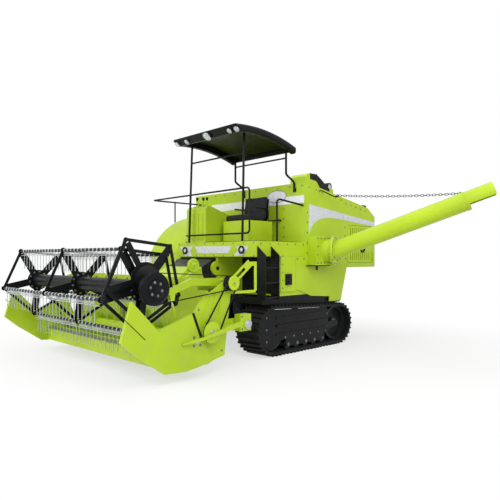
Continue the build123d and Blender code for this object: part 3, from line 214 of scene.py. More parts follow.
sweep = bpy.data.materials.new("studio_floor")
ground = Tree(cleared(sweep))
spot = ground.node("TexCoord")["Object"]
away = ground.node("VectorMath", {0: spot}, operation="LENGTH")["Value"]
fade = ground.node("MapRange", {
    "Value": away, "From Min": FADE_FROM, "From Max": FADE_TO, "To Min": FADE_NEAR,
    "To Max": 1.0}, interpolation_type="SMOOTHSTEP")["Result"]
share = ground.node("Math", {0: fade, 1: seen_directly(ground)}, operation="MULTIPLY")[0]
paper = ground.node("BsdfDiffuse", {"Color": PAPER})[0]
glow = ground.node("Emission")[0]
both = ground.node("MixShader", {"Fac": share, 1: paper, 2: glow})[0]
ground.node("OutputMaterial", {"Surface": both})
floor.data.materials.append(sweep)
print("floor radius:", FLOOR_R)

# %% [markdown]
# Paint is never one flat colour. It has a faint orange-peel texture, its colour drifts from panel
# to panel, dust dulls it low down and on level faces, and edges are rubbed bright. One helper
# wires such recipes, and each finish fills in its own numbers.


# %% Finishes
class Recipe(Tree):
    """A material made of shader nodes, with a short call for each of its layers."""

    def __init__(self, name):
        self.material = bpy.data.materials.new(name)
        super().__init__(cleared(self.material))
        self.place = self.node("TexCoord")["Object"]

    def noise(self, scale, detail=3):
        return self.node("TexNoise", {
            "Vector": self.place, "Scale": scale, "Detail": detail})["Fac"]

    def ramp(self, value, low, high, start=0.0, end=1.0):
        return self.node("MapRange", {
            "Value": value, "From Min": low, "From Max": high, "To Min": start,
            "To Max": end})["Result"]

    def mix(self, share, first, second):
        """Blend two colours. Sockets 6, 7 and 2 are the mix node's colour ones."""
        return self.node("Mix", {0: share, 6: first, 7: second}, data_type="RGBA")[2]

    def product(self, first, second):
        return self.node("Math", {0: first, 1: second}, operation="MULTIPLY")[0]

    def bump(self, height, distance, strength=1.0, below=None):
        inputs = {"Strength": strength, "Distance": distance, "Height": height}
        if below is not None:
            inputs["Normal"] = below
        return self.node("Bump", inputs)["Normal"]

    def height(self):
        """Height over the ground, for dust and for colours that change at a level."""
        return self.node("SeparateXYZ", {0: self.place})["Z"]

    def facing_up(self):
        """1 on level faces, 0 on walls and below."""
        normal = self.node("NewGeometry")["Normal"]
        return self.ramp(self.node("SeparateXYZ", {0: normal})["Z"], 0.5, 0.95)

    def edges(self, radius):
        """1 on sharp edges, from a rounded normal set against the true one."""
        rounded = self.node("Bevel", {"Radius": radius}, samples=4)[0]
        true = self.node("NewGeometry")["True Normal"]
        dot = self.node("VectorMath", {0: rounded, 1: true}, operation="DOT_PRODUCT")
        return self.ramp(dot["Value"], 0.97, 0.75)

    def finish(self, colour, roughness, normal, metallic=0.0, specular=0.5, coat=0.0, clear=0.0):
        """Close the recipe with its surface, and give the material."""
        surface = self.node("BsdfPrincipled", {
            "Base Color": colour, "Roughness": roughness, "Normal": normal, "Metallic": metallic,
            "Specular IOR Level": specular, "Coat Weight": coat, "Coat Roughness": 0.12,
            "Transmission Weight": clear})[0]
        self.node("OutputMaterial", {"Surface": surface})
        return self.material


def paint(name, colour, dust, worn, roughness=0.4, specular=0.32):
    """Sprayed enamel on sheet steel."""
    r = Recipe(name)
    base = rgb(colour)
    deep = tuple(c * 0.86 for c in base[:3]) + (1,)
    tone = r.mix(r.ramp(r.noise(1.3, 4), 0.3, 0.7), base, deep)
    low = r.ramp(r.height(), 1.3, 0.2)
    patches = r.ramp(r.noise(6.0, 6), 0.42, 0.75)
    tone = r.mix(r.product(r.product(low, patches), 0.16), tone, rgb(dust))
    settled = r.product(r.facing_up(), r.ramp(r.noise(9.0, 5), 0.35, 0.8))
    tone = r.mix(r.product(settled, 0.12), tone, rgb(dust))
    rubbed = r.product(r.edges(0.006), r.ramp(r.noise(30.0, 4), 0.45, 0.62))
    tone = r.mix(r.product(rubbed, 0.28), tone, rgb(worn))
    gloss = r.ramp(r.noise(14.0, 5), 0.3, 0.7, roughness - 0.06, roughness + 0.1)
    peel = r.bump(r.noise(260.0, 2), 0.0006, 0.25)
    dents = r.bump(r.noise(2.6, 2), 0.006, 0.3, below=peel)
    return r.finish(tone, gloss, dents, specular=specular)


def rubber(name, colour, mud):
    """Moulded rubber, dulled with dried earth in patches."""
    r = Recipe(name)
    tone = r.mix(r.ramp(r.noise(12.0, 6), 0.3, 0.75), rgb(colour), rgb("#1B1C1D"))
    earth = r.product(r.ramp(r.noise(7.0, 8), 0.52, 0.8), 0.35)
    tone = r.mix(earth, tone, rgb(mud))
    rough = r.ramp(r.noise(20.0, 5), 0.3, 0.7, 0.55, 0.8)
    return r.finish(tone, rough, r.bump(r.noise(180.0, 4), 0.0015, 0.4), specular=0.2)


def metal(name, colour, dark, roughness, metallic=1.0):
    """Bare or cast metal, a little stained."""
    r = Recipe(name)
    tone = r.mix(r.ramp(r.noise(16.0, 6), 0.35, 0.75), rgb(colour), rgb(dark))
    rough = r.ramp(r.noise(60.0, 3), 0.3, 0.7, roughness - 0.08, roughness + 0.1)
    return r.finish(tone, rough, r.bump(r.noise(420.0, 2), 0.0004, 0.3), metallic=metallic)


FINISH = {
    "lime_paint": paint("lime_enamel", "#B3D023", "#A49B7C", "#D6DFA2"),
    "black_paint": paint("black_enamel", "#0C0D0F", "#3A3A38", "#4A4C50", 0.38, 0.16),
    "rubber": rubber("track_rubber", "#0D0E0F", "#34322E"),
    "bare_steel": metal("bare_steel", "#B9BCBE", "#85888A", 0.34),
    "grey_iron": metal("cast_wheels", "#2A2C2E", "#17191A", 0.5, metallic=0.3),
    "seat_vinyl": rubber("seat_shell", "#1C1D1F", "#2E2E30"),
    "lamp_glass": metal("lamp_shell", "#C9CCCE", "#9A9EA1", 0.2),
    "dark_engine": metal("engine_iron", "#3A3D3A", "#1F2120", 0.55, metallic=0.5),
    "chrome": metal("chrome_rod", "#D5D8DA", "#B0B4B7", 0.12),
}
for node, thing in NODES.items():
    thing.data.materials.clear()
    thing.data.materials.append(FINISH[SLOT_OF[node]])
print("finishes:", len(FINISH))

# %% [markdown]
# Some parts carry two colours. A bat's tube is black and the tines below it are bright wire, so
# the height decides. The reel arms are lime with a black disc at their left end, and the feeder
# house is black round its upper shaft as painted shade under the deck: there the distance from an
# axis decides.

# %% Two-coloured parts
BAT_BLACK, CHANGE = "#0E0F11", 0.002
REEL_AXIS, REEL_R, BAT_COUNT, FIRST_BAT = (-3.312, 1.205), 0.555, 5, radians(-12)
BAT_TUBE_R = 0.024
STEERING_DISC, STEERING_DISC_R = at(0, -3.282, 1.32), 0.22
# The feeder house's black round its upper shaft, within this radius, is painted shade under the
# deck.
FEEDER_SHAFT, FEEDER_SHADE_R = at(0, -1.15, 1.4), 0.3
BAT_PLACES = [(REEL_AXIS[0] - REEL_R * cos(a), REEL_AXIS[1] + REEL_R * sin(a))
              for a in turns(BAT_COUNT, FIRST_BAT)]


def bat_finish(name, level):
    """Black tube above a level, bright spring wire below it."""
    r = Recipe(name)
    below = r.ramp(r.height(), level, level - CHANGE)
    bright = r.mix(r.ramp(r.noise(40.0, 4), 0.4, 0.7), rgb("#C6C9CB"), rgb("#9FA2A4"))
    tone = r.mix(below, rgb(BAT_BLACK), bright)
    rough = r.ramp(r.noise(60.0, 3), 0.3, 0.7, 0.32, 0.46)
    grain = r.bump(r.noise(300.0, 2), 0.0004, 0.3)
    return r.finish(tone, rough, grain, metallic=r.product(below, 0.4), specular=0.25)


def disc_finish(name, centre, radius):
    """Lime enamel that is black within a radius of a crosswise axis."""
    r = Recipe(name)
    flat = r.node("VectorMath", {0: r.place, 1: (0, 1, 1)}, operation="MULTIPLY")[0]
    away = r.node("VectorMath", {0: flat, 1: (0, centre.y, centre.z)},
                  operation="DISTANCE")["Value"]
    lime = r.mix(r.ramp(r.noise(1.3, 4), 0.3, 0.7), rgb("#B3D023"), rgb("#A6C41F"))
    tone = r.mix(r.ramp(away, radius, radius - CHANGE), lime, rgb(BAT_BLACK))
    rough = r.ramp(r.noise(14.0, 5), 0.3, 0.7, 0.28, 0.42)
    return r.finish(tone, rough, r.bump(r.noise(260.0, 2), 0.0006, 0.25), specular=0.35)


for i, (_, level) in enumerate(BAT_PLACES):
    bat = NODES[f"reel_bat_{i + 1}"]
    bat.data.materials[0] = bat_finish(f"bat_{i + 1}", level - BAT_TUBE_R)
for node, name, centre, radius in (
        ("reel_arms", "arm_enamel", STEERING_DISC, STEERING_DISC_R),
        # The feeder house's black disc is painted shade under the deck.
        ("feeder_house", "feeder_enamel", FEEDER_SHAFT, FEEDER_SHADE_R)):
    NODES[node].data.materials[0] = disc_finish(name, centre, radius)
print("two-coloured parts:", BAT_COUNT + 2)

# %% [markdown]
# Most of what is left is sheet steel, turned steel or bent wire. A plate is its outline and the
# vector through its thickness, a turned form is a lathe's profile along an axis, and a wire is a
# curve with a round section. Each piece is written straight into its place. A finish is a material
# with the slot that it stands for.

# %% Helpers for plates, turned forms and wires
LIME = (FINISH["lime_paint"], "lime_paint")
BLACK = (FINISH["black_paint"], "black_paint")
BOLT_STEEL = (metal("zinc_bolts", "#8F9294", "#5E6163", 0.42, metallic=0.8), "bare_steel")


def rides(name, mesh, finish, body="chassis", sharp=None):
    """A mesh as a piece that moves with one body, smooth but for edges over the sharp angle."""
    material, slot = finish
    mesh.materials.clear()
    mesh.materials.append(material)
    if sharp is not None:
        mesh.shade_smooth()
        mesh.set_sharp_from_angle(angle=radians(sharp))
    thing = add_object(name, mesh)
    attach(thing, body)
    print(f"{name}: {len(mesh.polygons)} faces on {body}")
    return thing


def piece(name, shape, finish, body="chassis", smooth=False):
    """A bmesh made into a piece, its faces turned outwards."""
    bmesh.ops.recalc_face_normals(shape, faces=shape.faces[:])
    mesh = bpy.data.meshes.new(name)
    shape.to_mesh(mesh)
    shape.free()
    return rides(name, mesh, finish, body, sharp=35 if smooth else None)


def plate(shape, outline, depth):
    """A flat plate from its corner points and the vector through its thickness."""
    near = [shape.verts.new(p) for p in outline]
    far = [shape.verts.new(p + depth) for p in outline]
    shape.faces.new(near)
    shape.faces.new(far[::-1])
    for i in range(len(near)):
        j = (i + 1) % len(near)
        shape.faces.new((near[j], near[i], far[i], far[j]))


def soften(shape, radius, segments=2):
    """Round every sharp edge of what the shape holds so far."""
    sharp = [e for e in shape.edges if len(e.link_faces) == 2 and e.calc_face_angle(0) > 0.5]
    bmesh.ops.bevel(shape, geom=sharp, offset=radius, segments=segments, affect="EDGES",
                    clamp_overlap=True)


def turned(shape, start, axis, profile, sides=32):
    """A turned form from (distance along the axis, radius) pairs, closed at both ends."""
    axis = axis.normalized()
    side = axis.orthogonal().normalized()
    up = axis.cross(side)
    rings = []
    for along_axis, radius in profile:
        middle = start + axis * along_axis
        count = sides if radius > 1e-6 else 1
        rings.append([shape.verts.new(middle + (side * cos(a) + up * sin(a)) * radius)
                      for a in turns(sides)[:count]])
    for low, high in zip(rings, rings[1:]):
        for i in range(sides):
            j = (i + 1) % sides
            corners = [low[i % len(low)], low[j % len(low)],
                       high[j % len(high)], high[i % len(high)]]
            corners = list(dict.fromkeys(corners))
            if len(corners) > 2:
                shape.faces.new(corners)
    for end in (rings[0], rings[-1]):
        if len(end) > 1:
            shape.faces.new(end)


def wire(name, runs, radius, finish, closed=False):
    """Round wire or bar along one or more lists of points."""
    curve = bpy.data.curves.new(name, "CURVE")
    curve.dimensions = "3D"
    curve.bevel_depth = radius
    curve.bevel_resolution = 2
    curve.use_fill_caps = True
    for run in runs:
        spline = curve.splines.new("POLY")
        spline.points.add(len(run) - 1)
        for point, spot in zip(spline.points, run):
            point.co = (*spot, 1)
        spline.use_cyclic_u = closed
    draft = bpy.data.objects.new(name + "_draft", curve)
    mesh = bpy.data.meshes.new_from_object(draft)
    bpy.data.objects.remove(draft)
    return rides(name, mesh, finish, sharp=50)


# %% [markdown]
# Whatever repeats is grown with Geometry Nodes, one small tree for each kind of thing, with its
# sizes as named inputs. Each point of a seed mesh carries a direction and a size. The result is
# kept as a plain mesh, because a modifier's instances would be lost on export.


# %% Helpers for Geometry Nodes
class Growth(Tree):
    """A Geometry Nodes tree, with short calls for its nodes and links."""

    def __init__(self, name, sizes):
        super().__init__(bpy.data.node_groups.new(name, "GeometryNodeTree"), "GeometryNode")
        face = self.tree.interface
        for way in ("INPUT", "OUTPUT"):
            face.new_socket("Geometry", in_out=way, socket_type="NodeSocketGeometry")
        for label, value in sizes.items():
            size = face.new_socket(label, in_out="INPUT", socket_type="NodeSocketFloat")
            size.default_value = value
        face.new_socket("Finish", in_out="INPUT", socket_type="NodeSocketMaterial")
        self.start = self.node("NodeGroupInput")
        self.end = self.tree.nodes.new("NodeGroupOutput")

    def compute(self, operation, first, second=0.0):
        return self.node("ShaderNodeMath", {0: first, 1: second}, operation=operation)[0]

    def times(self, first, second):
        return self.compute("MULTIPLY", first, second)

    def attribute(self, name, kind):
        return self.node("InputNamedAttribute", {"Name": name}, data_type=kind)["Attribute"]

    def thread(self, radius, sides):
        """The round section of a wire."""
        return self.node("CurvePrimitiveCircle", {"Resolution": sides, "Radius": radius})["Curve"]

    def swept(self, path, section, caps=False):
        """A section swept along a path, its ends closed where it has any."""
        return self.node("CurveToMesh", {
            "Curve": path, "Profile Curve": section, "Fill Caps": caps})[0]

    def join(self, *shapes):
        made = self.tree.nodes.new("GeometryNodeJoinGeometry")
        for shape in shapes:
            self.tree.links.new(shape, made.inputs[0])
        return made.outputs[0]

    def on_points(self, unit):
        """Set a unit on each seed, turned to face its direction and scaled by its size."""
        turn = self.node("FunctionNodeAlignRotationToVector", {
            "Vector": self.attribute("facing", "FLOAT_VECTOR")}, axis="Z")["Rotation"]
        return self.node("InstanceOnPoints", {
            "Points": self.start["Geometry"], "Instance": unit, "Rotation": turn,
            "Scale": self.attribute("size", "FLOAT")})[0]

    def close(self, geometry):
        """Make instances real, give them the finish, and end the tree."""
        real = self.node("RealizeInstances", {"Geometry": geometry})[0]
        painted = self.node("SetMaterial", {"Geometry": real, "Material": self.start["Finish"]})[0]
        self.tree.links.new(painted, self.end.inputs["Geometry"])
        return self.tree


def realised(draft):
    """What an object shows, as a plain mesh with one finish. The object itself goes."""
    depsgraph = bpy.context.evaluated_depsgraph_get()
    mesh = bpy.data.meshes.new_from_object(draft.evaluated_get(depsgraph))
    bpy.data.objects.remove(draft)
    mesh.polygons.foreach_set("material_index", [0] * len(mesh.polygons))
    for label in [a.name for a in mesh.attributes if a.name in ("facing", "size")]:
        mesh.attributes.remove(mesh.attributes[label])
    return mesh


def grow(name, tree, seeds, finish, body="chassis", edges=(), smooth=False, **sizes):
    """Grow a tree on seeds, each (place, direction, size), and keep the plain mesh."""
    mesh = bpy.data.meshes.new(name)
    mesh.from_pydata([place for place, _, _ in seeds], edges, [])
    mesh.attributes.new("facing", "FLOAT_VECTOR", "POINT")
    mesh.attributes.new("size", "FLOAT", "POINT")
    for i, (_, direction, scale) in enumerate(seeds):
        mesh.attributes["facing"].data[i].vector = direction
        mesh.attributes["size"].data[i].value = scale
    seed = add_object(name + "_seed", mesh)
    modifier = seed.modifiers.new("growth", "NODES")
    modifier.node_group = tree
    given = {**sizes, "Finish": finish[0]}
    for item in tree.interface.items_tree:
        if item.in_out == "INPUT" and item.name in given:
            modifier[item.identifier] = given[item.name]
    return rides(name, realised(seed), finish, body, sharp=40 if smooth else None)


# %% [markdown]
# Hexagon bolts hold every panel, hub and flange, and they give the eye its scale. The head is a
# six-sided cylinder, a little smaller at its top, on a round washer.

# %% Bolts
bolt = Growth("hex_bolt", {"Radius": 0.011, "Height": 0.008})
across, tall = bolt.start["Radius"], bolt.start["Height"]
head = bolt.node("MeshCone", {
    "Vertices": 6, "Radius Top": bolt.times(across, 0.9), "Radius Bottom": across,
    "Depth": tall})["Mesh"]
washer = bolt.node("MeshCylinder", {
    "Vertices": 16, "Radius": bolt.times(across, 1.45), "Depth": bolt.times(tall, 0.45)})["Mesh"]
BOLT = bolt.close(bolt.on_points(bolt.join(head, washer)))


def ring(centre, axis, radius, count, size=1.0):
    """Seeds evenly round a circle, all facing along its axis."""
    side = axis.orthogonal().normalized()
    up = axis.cross(side).normalized()
    return [(centre + (side * cos(a) + up * sin(a)) * radius, axis, size) for a in turns(count)]


def rows(view, level, facing, lines, size=1.0):
    """Seeds evenly along lines on a wall, each line its two ends and its count."""
    seeds = []
    for first, last, count in lines:
        start, end = view(level, (first, last))
        seeds += [(start.lerp(end, i / (count - 1)), facing, size) for i in range(count)]
    return seeds


TRACK_X, SPROCKET, IDLER_WHEEL = 1.3, (-0.815, 0.41), (0.965, 0.375)
ROLLER_X, ROLLER_Z, ROLLER_Y = 1.47, 0.1403, [0.06 + 0.235 * i for i in (-2, -1, 0, 1, 2)]
SWING = Vector((cos(radians(22)), sin(radians(22)), 0))
ACROSS = Vector((-SWING.y, SWING.x, 0))
FLANGE, FLANGE_HALF, FLANGE_BOLTS_R = at(1.78, 0.45, 1.7), 0.02, 0.228
ELBOW_SIDE = 1.69
HUBS = ((0.09, SPROCKET, 0.055, 6, 1.3), (0.017, SPROCKET, 0.2, 9, 1.5),
        (0.09, IDLER_WHEEL, 0.055, 6, 1.1))
SIDE_ROWS = (((-0.21, 1.56), (1.21, 1.56), 9), ((-0.58, 1.6), (-0.58, 1.08), 5),
             ((0.06, 1.66), (0.06, 2.36), 5), ((0.12, 1.64), (1.1, 1.64), 6),
             ((1.19, 1.66), (1.19, 2.15), 4), ((0.12, 2.8), (1.08, 2.66), 6),
             ((1.22, 2.6), (1.9, 2.5), 5))
DECK_ROWS = [((-0.45, z), (1.45, z), 9) for z in (1.815, 1.612)]
DECK_SIDE_ROWS, DECK_BOLTS = [((-1.1, 1.8), (-0.05, 1.8), 6)], 0.9
TANK_ROWS = ((-1.42, 2.83), (1.42, 2.83), 11), ((1.0, 1.95), (1.0, 2.45), 4)
HOOD_ROWS = [((x, 1.45), (x, 2.35), 6) for x in (-1.42, 1.42)]
ELBOW_ROWS = (((0.11, 1.49), (0.11, 1.91), 4), ((0.2, 1.91), (0.5, 1.91), 4),
              ((0.2, 1.49), (0.5, 1.49), 4))

chassis_bolts = ring(FLANGE - SWING * FLANGE_HALF, -SWING, FLANGE_BOLTS_R, 12, 1.2)
for side in (1, -1):
    for proud, wheel, radius, count, size in HUBS:
        hub = at(side * (TRACK_X + proud), *wheel)
        chassis_bolts += ring(hub, X * side, radius, count, size)
    chassis_bolts += [(at(side * ROLLER_X, y, ROLLER_Z), X * side, 1.7) for y in ROLLER_Y]
    chassis_bolts += rows(side_view, BODY_SIDE * side, X * side, SIDE_ROWS)
chassis_bolts += rows(front_view, DECK_FRONT, -Y, DECK_ROWS, DECK_BOLTS)
chassis_bolts += rows(side_view, BODY_SIDE, X, DECK_SIDE_ROWS, DECK_BOLTS)
chassis_bolts += rows(front_view, TANK_FRONT, -Y, TANK_ROWS)
chassis_bolts += rows(front_view, HOOD_REAR, Y, HOOD_ROWS)
chassis_bolts += rows(side_view, ELBOW_SIDE, X, ELBOW_ROWS)
grow("chassis_bolts", BOLT, chassis_bolts, BOLT_STEEL)
grow("unloader_bolts", BOLT, ring(FLANGE + SWING * FLANGE_HALF, SWING, FLANGE_BOLTS_R, 12, 1.2),
     BOLT_STEEL, "unloader")

# %% [markdown]
# The header's bolts hold its auger's bearings, the knife's drive and the trough's top rail. The
# reel's join its spiders to their tube, on both faces.

# %% Header and reel bolts
KNIFE_DRIVE, AUGER_SHAFT = (1.994, -1.865, 0.66), (1.85, -2.65, 0.5)
header_bolts = ring(at(*KNIFE_DRIVE), X, 0.058, 4, 0.8)
for side in (1, -1):
    bearing = at(side * AUGER_SHAFT[0], *AUGER_SHAFT[1:])
    header_bolts += ring(bearing, X * side, 0.075, 4, 1.2)
header_bolts += rows(side_view, 1.972, X, [((-1.96, 0.6), (-1.96, 0.77), 2)])
header_bolts += rows(side_view, 1.82, X, [((-2.6, 0.9), (-2.2, 0.32), 4)])
for y, facing in ((-2.465, -Y), (-2.355, Y)):
    header_bolts += rows(front_view, y, facing, [((-1.5, 1.25), (1.5, 1.25), 10)])
grow("header_bolts", BOLT, header_bolts, BOLT_STEEL, "header")

SPIDER_X, SPIDER_THICK, SPIDER_BOLTS_R = (-1.571, -0.006, 1.559), 0.012, 0.14
reel_bolts = ring(at(1.896, *REEL_AXIS), X, 0.085, 6, 1.1)
for x in SPIDER_X:
    reel_bolts += ring(at(x, *REEL_AXIS), -X, SPIDER_BOLTS_R, 10)
    reel_bolts += ring(at(x + SPIDER_THICK, *REEL_AXIS), X, SPIDER_BOLTS_R, 10)
grow("reel_bolts", BOLT, reel_bolts, BOLT_STEEL, "reel")

# %% [markdown]
# The unloading tube hangs on a chain of plain oval links, every second one turned by 90 degrees
# about the chain's own line. The line sags a little, as a heavy chain does. A ring on the stay's
# pin and a lug on the tube hold its ends.

# %% Chain links
link = Growth("chain_link", {"Length": 0.056, "Width": 0.03, "Wire": 0.005})
oval = link.node("CurvePrimitiveQuadrilateral", {
    0: link.start["Length"], 1: link.start["Width"]}, mode="RECTANGLE")["Curve"]
oval = link.node("FilletCurve", {
    "Curve": oval, "Radius": link.times(link.start["Width"], 0.499), "Count": 5,
    "Limit Radius": True}, mode="POLY")[0]
oval = link.swept(oval, link.thread(link.start["Wire"], 8))
line = link.node("MeshToCurve", {"Mesh": link.start["Geometry"]})[0]
points = link.node("CurveToPoints", {
    "Curve": line, "Length": link.times(link.start["Length"], 0.84)}, mode="LENGTH")
lengthwise = link.node("FunctionNodeAlignRotationToVector", {
    "Vector": points["Tangent"]}, axis="X")["Rotation"]
odd = link.compute("MODULO", link.node("InputIndex")[0], 2.0)
roll = link.node("FunctionNodeAxisAngleToRotation", {
    "Axis": (1, 0, 0), "Angle": link.times(odd, pi / 2)})[0]
turn = link.node("FunctionNodeRotateRotation", {0: lengthwise, 1: roll}, rotation_space="LOCAL")[0]
CHAIN = link.close(link.node("InstanceOnPoints", {
    "Points": points["Points"], "Instance": oval, "Rotation": turn})[0])

RISE, UNLOADER_R, HINGE_REACH = radians(20), 0.15, 0.262
CHAIN_TOP_Z, CHAIN_REACH, SAG, RUNS = 2.69, 2.14, 0.028, 24
AUGER_WAY = SWING * cos(RISE) + Z * sin(RISE)
hinge = FLANGE + ACROSS * HINGE_REACH
chain_top = Vector((hinge.x, hinge.y, CHAIN_TOP_Z))
chain_end = FLANGE + AUGER_WAY * CHAIN_REACH + Z * (UNLOADER_R / cos(RISE) + 0.004)
route = []
for i in range(RUNS + 1):
    drop = Z * SAG * 4 * (i / RUNS) * (1 - i / RUNS)
    route.append((chain_top.lerp(chain_end, i / RUNS) - drop, Z, 1.0))
CHAIN_STEEL = (metal("chain_steel", "#4A4D4F", "#2B2D2F", 0.42, metallic=0.6), "bare_steel")
chain = grow("unloader_chain_links", CHAIN, route, CHAIN_STEEL, "unloader",
             edges=[(i, i + 1) for i in range(RUNS)], smooth=True)
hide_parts("unloader_chain")

eye = bmesh.new()
turned(eye, chain_top - Z * 0.011, Z, [
    (0, 0.009), (0, 0.02), (0.004, 0.023), (0.018, 0.023), (0.022, 0.02), (0.022, 0.009)], 24)
piece("chain_eye", eye, BOLT_STEEL, "unloader", smooth=True)
lug = bmesh.new()
foot = chain_end - Z * 0.03 - ACROSS * 0.004
plate(lug, [foot - AUGER_WAY * 0.05, foot + AUGER_WAY * 0.05,
            foot + AUGER_WAY * 0.02 + Z * 0.055, foot - AUGER_WAY * 0.02 + Z * 0.055],
      ACROSS * 0.008)
soften(lug, 0.002)
piece("chain_lug", lug, LIME, "unloader")

# %% [markdown]
# A bat's tines are spring wire: each hangs from a coil wound round the tube, and a pair of wavy
# wires between the tube and the clamping strip shows as a row of small diamonds. A spiral curve
# makes the coil, and a sine lifts and lowers a resampled line for the waves.

# %% Spring tines
TINE_PITCH, TINES = 0.105, 28
SPRING_WIRE = (metal("spring_wire", "#CDD0D2", "#A3A6A8", 0.35, metallic=0.4), "bare_steel")
coil = Growth("tine_springs", {
    "Wire": 0.0024, "Coil radius": 0.0235, "Coil length": 0.026, "Pitch": TINE_PITCH,
    "Wave": 0.017, "Wave drop": 0.044})
spiral = coil.node("CurveSpiral", {
    "Resolution": 12, "Rotations": 2.5, "Start Radius": coil.start["Coil radius"],
    "End Radius": coil.start["Coil radius"], "Height": coil.start["Coil length"]})["Curve"]
thin = coil.thread(coil.start["Wire"], 6)
coils = coil.on_points(coil.swept(spiral, thin, caps=True))
line = coil.node("MeshToCurve", {"Mesh": coil.start["Geometry"]})[0]
line = coil.node("ResampleCurve", {
    "Curve": line, "Length": coil.times(coil.start["Pitch"], 0.1)}, mode="LENGTH")[0]
spot = coil.node("InputPosition")[0]
sideways = coil.node("ShaderNodeSeparateXYZ", {0: spot})["X"]
phase = coil.compute("DIVIDE", coil.times(sideways, 4 * pi), coil.start["Pitch"])
wave = coil.times(coil.compute("SINE", phase), coil.start["Wave"])
woven = []
for sign in (1.0, -1.0):
    lift = coil.compute("SUBTRACT", coil.times(wave, sign), coil.start["Wave drop"])
    shift = coil.node("ShaderNodeCombineXYZ", {"Z": lift})[0]
    waved = coil.node("SetPosition", {"Geometry": line, "Offset": shift})[0]
    woven.append(coil.swept(waved, thin, caps=True))
SPRINGS = coil.close(coil.join(*woven, coils))

tines = [(k - (TINES - 1) / 2) * TINE_PITCH for k in range(TINES)]
unbroken = [(k, k + 1) for k in range(TINES - 1) if k + 1 != TINES // 2]
for i, (y, z) in enumerate(BAT_PLACES):
    grow(f"tine_springs_{i + 1}", SPRINGS, [(at(x, y, z), X, 1.0) for x in tines],
         SPRING_WIRE, f"reel_bat_{i + 1}", edges=unbroken, smooth=True)

# %% [markdown]
# A silver band sweeps over the side of tank and hood and ends in a point, and a white one crosses
# the tank's front. They are thin plates, so that they keep an edge of their own. The plates on the
# deck's front and the tank are plain silver.

# %% Bands and bare plates
SILVER = (metal("silver_film", "#D3D6DC", "#C2C5CC", 0.38, metallic=0.15), "bare_steel")
WHITE = (metal("white_film", "#ECEEEF", "#DDE0E2", 0.42, metallic=0.0), "bare_steel")
FILM, PLATE, BADGE = 0.003, 0.004, 0.007
BAND_FRONT, BAND_REAR, BAND_POINT = (0.104, 2.507), (2.245, 2.292), (0.104, 1.936)
TANK_LOW, HOOD_LOW = (TANK_REAR, 2.283), (TANK_REAR + 0.006, 2.283)
OVAL_X, OVAL_Z, OVAL_HALF, OVAL_TALL = 0.832, 2.68, 0.228, 0.108


def along(first, last, share):
    """The pair that lies at a share of the way between two pairs."""
    return tuple(a + (b - a) * share for a, b in zip(first, last))


def arc(first, middle, last, count=12):
    """Pairs of a smooth bend that passes near its middle one."""
    return [along(along(first, middle, i / count), along(middle, last, i / count), i / count)
            for i in range(count + 1)]


band = bmesh.new()
tank_part = [BAND_FRONT, along(BAND_FRONT, BAND_REAR, 0.486), TANK_LOW]
tank_part += arc(BAND_POINT, (0.16, 2.33), (0.86, 2.30))[::-1]
hood_part = [along(BAND_FRONT, BAND_REAR, 0.49), (2.24, 2.292), (2.24, 2.207), HOOD_LOW]
for side in (1, -1):
    for outline in (tank_part, hood_part):
        plate(band, side_view(side * BODY_SIDE, outline), X * side * FILM)
piece("side_bands", band, SILVER)

band = bmesh.new()
tank_outline = ((-0.97, 2.51), (1.46, 2.53), (1.46, 2.66), (-0.97, 2.66))
plate(band, front_view(TANK_FRONT, tank_outline), -Y * FILM)
piece("tank_band", band, WHITE)

plates = bmesh.new()
oval = [(OVAL_X + OVAL_HALF * cos(a), OVAL_Z + OVAL_TALL * sin(a)) for a in turns(56)]
plate(plates, front_view(TANK_FRONT - 0.002, oval), -Y * BADGE)
for outline in (((-0.006, 1.772), (0.929, 1.768), (0.872, 1.65), (0.079, 1.65)),
                ((-0.44, 1.774), (-0.063, 1.774), (-0.14, 1.69), (-0.09, 1.606),
                 (-0.293, 1.606), (-0.36, 1.70)),
                ((1.05, 1.762), (1.318, 1.762), (1.293, 1.69), (1.182, 1.611),
                 (0.989, 1.611), (1.1, 1.70))):
    plate(plates, front_view(DECK_FRONT, outline), -Y * PLATE)
soften(plates, 0.0015)
piece("bare_plates", plates, SILVER)
wire("plate_rim", [front_view(TANK_FRONT - 0.009, oval)], 0.005, BOLT_STEEL, closed=True)

# %% [markdown]
# A lamp is a housing, a bright rim and a fluted glass, turned on its own axis. The canopy's
# housings come with the frame. The two lamps in the deck's front get a black surround, and the
# work lamp by the unloader gets a whole housing on a bent bracket.


# %% Lamps
def glass(name, colour):
    """Clear moulded glass with fine upright flutes."""
    r = Recipe(name)
    tone = r.mix(r.ramp(r.noise(5.0, 3), 0.3, 0.7), rgb(colour), rgb("#C9D0D4"))
    flutes = r.node("TexWave", {"Vector": r.place, "Scale": 28},
                    wave_type="BANDS", bands_direction="X")["Fac"]
    return r.finish(tone, 0.07, r.bump(flutes, 0.002, 0.4), coat=1.0, clear=0.25)


LENS = (glass("lamp_lens", "#F2F5F6"), "lamp_glass")
CHROME_RIM = (metal("lamp_rim", "#C4C8CB", "#8E9295", 0.22), "chrome")
CANOPY_TOP, CANOPY_LOW = (-1.548, 3.604), (-1.430, 3.508)
CANOPY_LAMPS = ((-0.11, 0.046), (0.15, 0.046), (0.68, 0.078), (1.215, 0.046), (1.374, 0.05))
DECK_LAMPS_X, DECK_LAMP_Z = (-0.263, 1.193), 1.705
WORK_LAMP, WORK_WAY = at(1.43, 0.775, 2.865), Vector((0.9, 0.2, -0.1)).normalized()
face_middle = at(0, (CANOPY_TOP[0] + CANOPY_LOW[0]) / 2, (CANOPY_TOP[1] + CANOPY_LOW[1]) / 2)
down = Vector((0, CANOPY_LOW[1] - CANOPY_TOP[1], CANOPY_TOP[0] - CANOPY_LOW[0])).normalized()

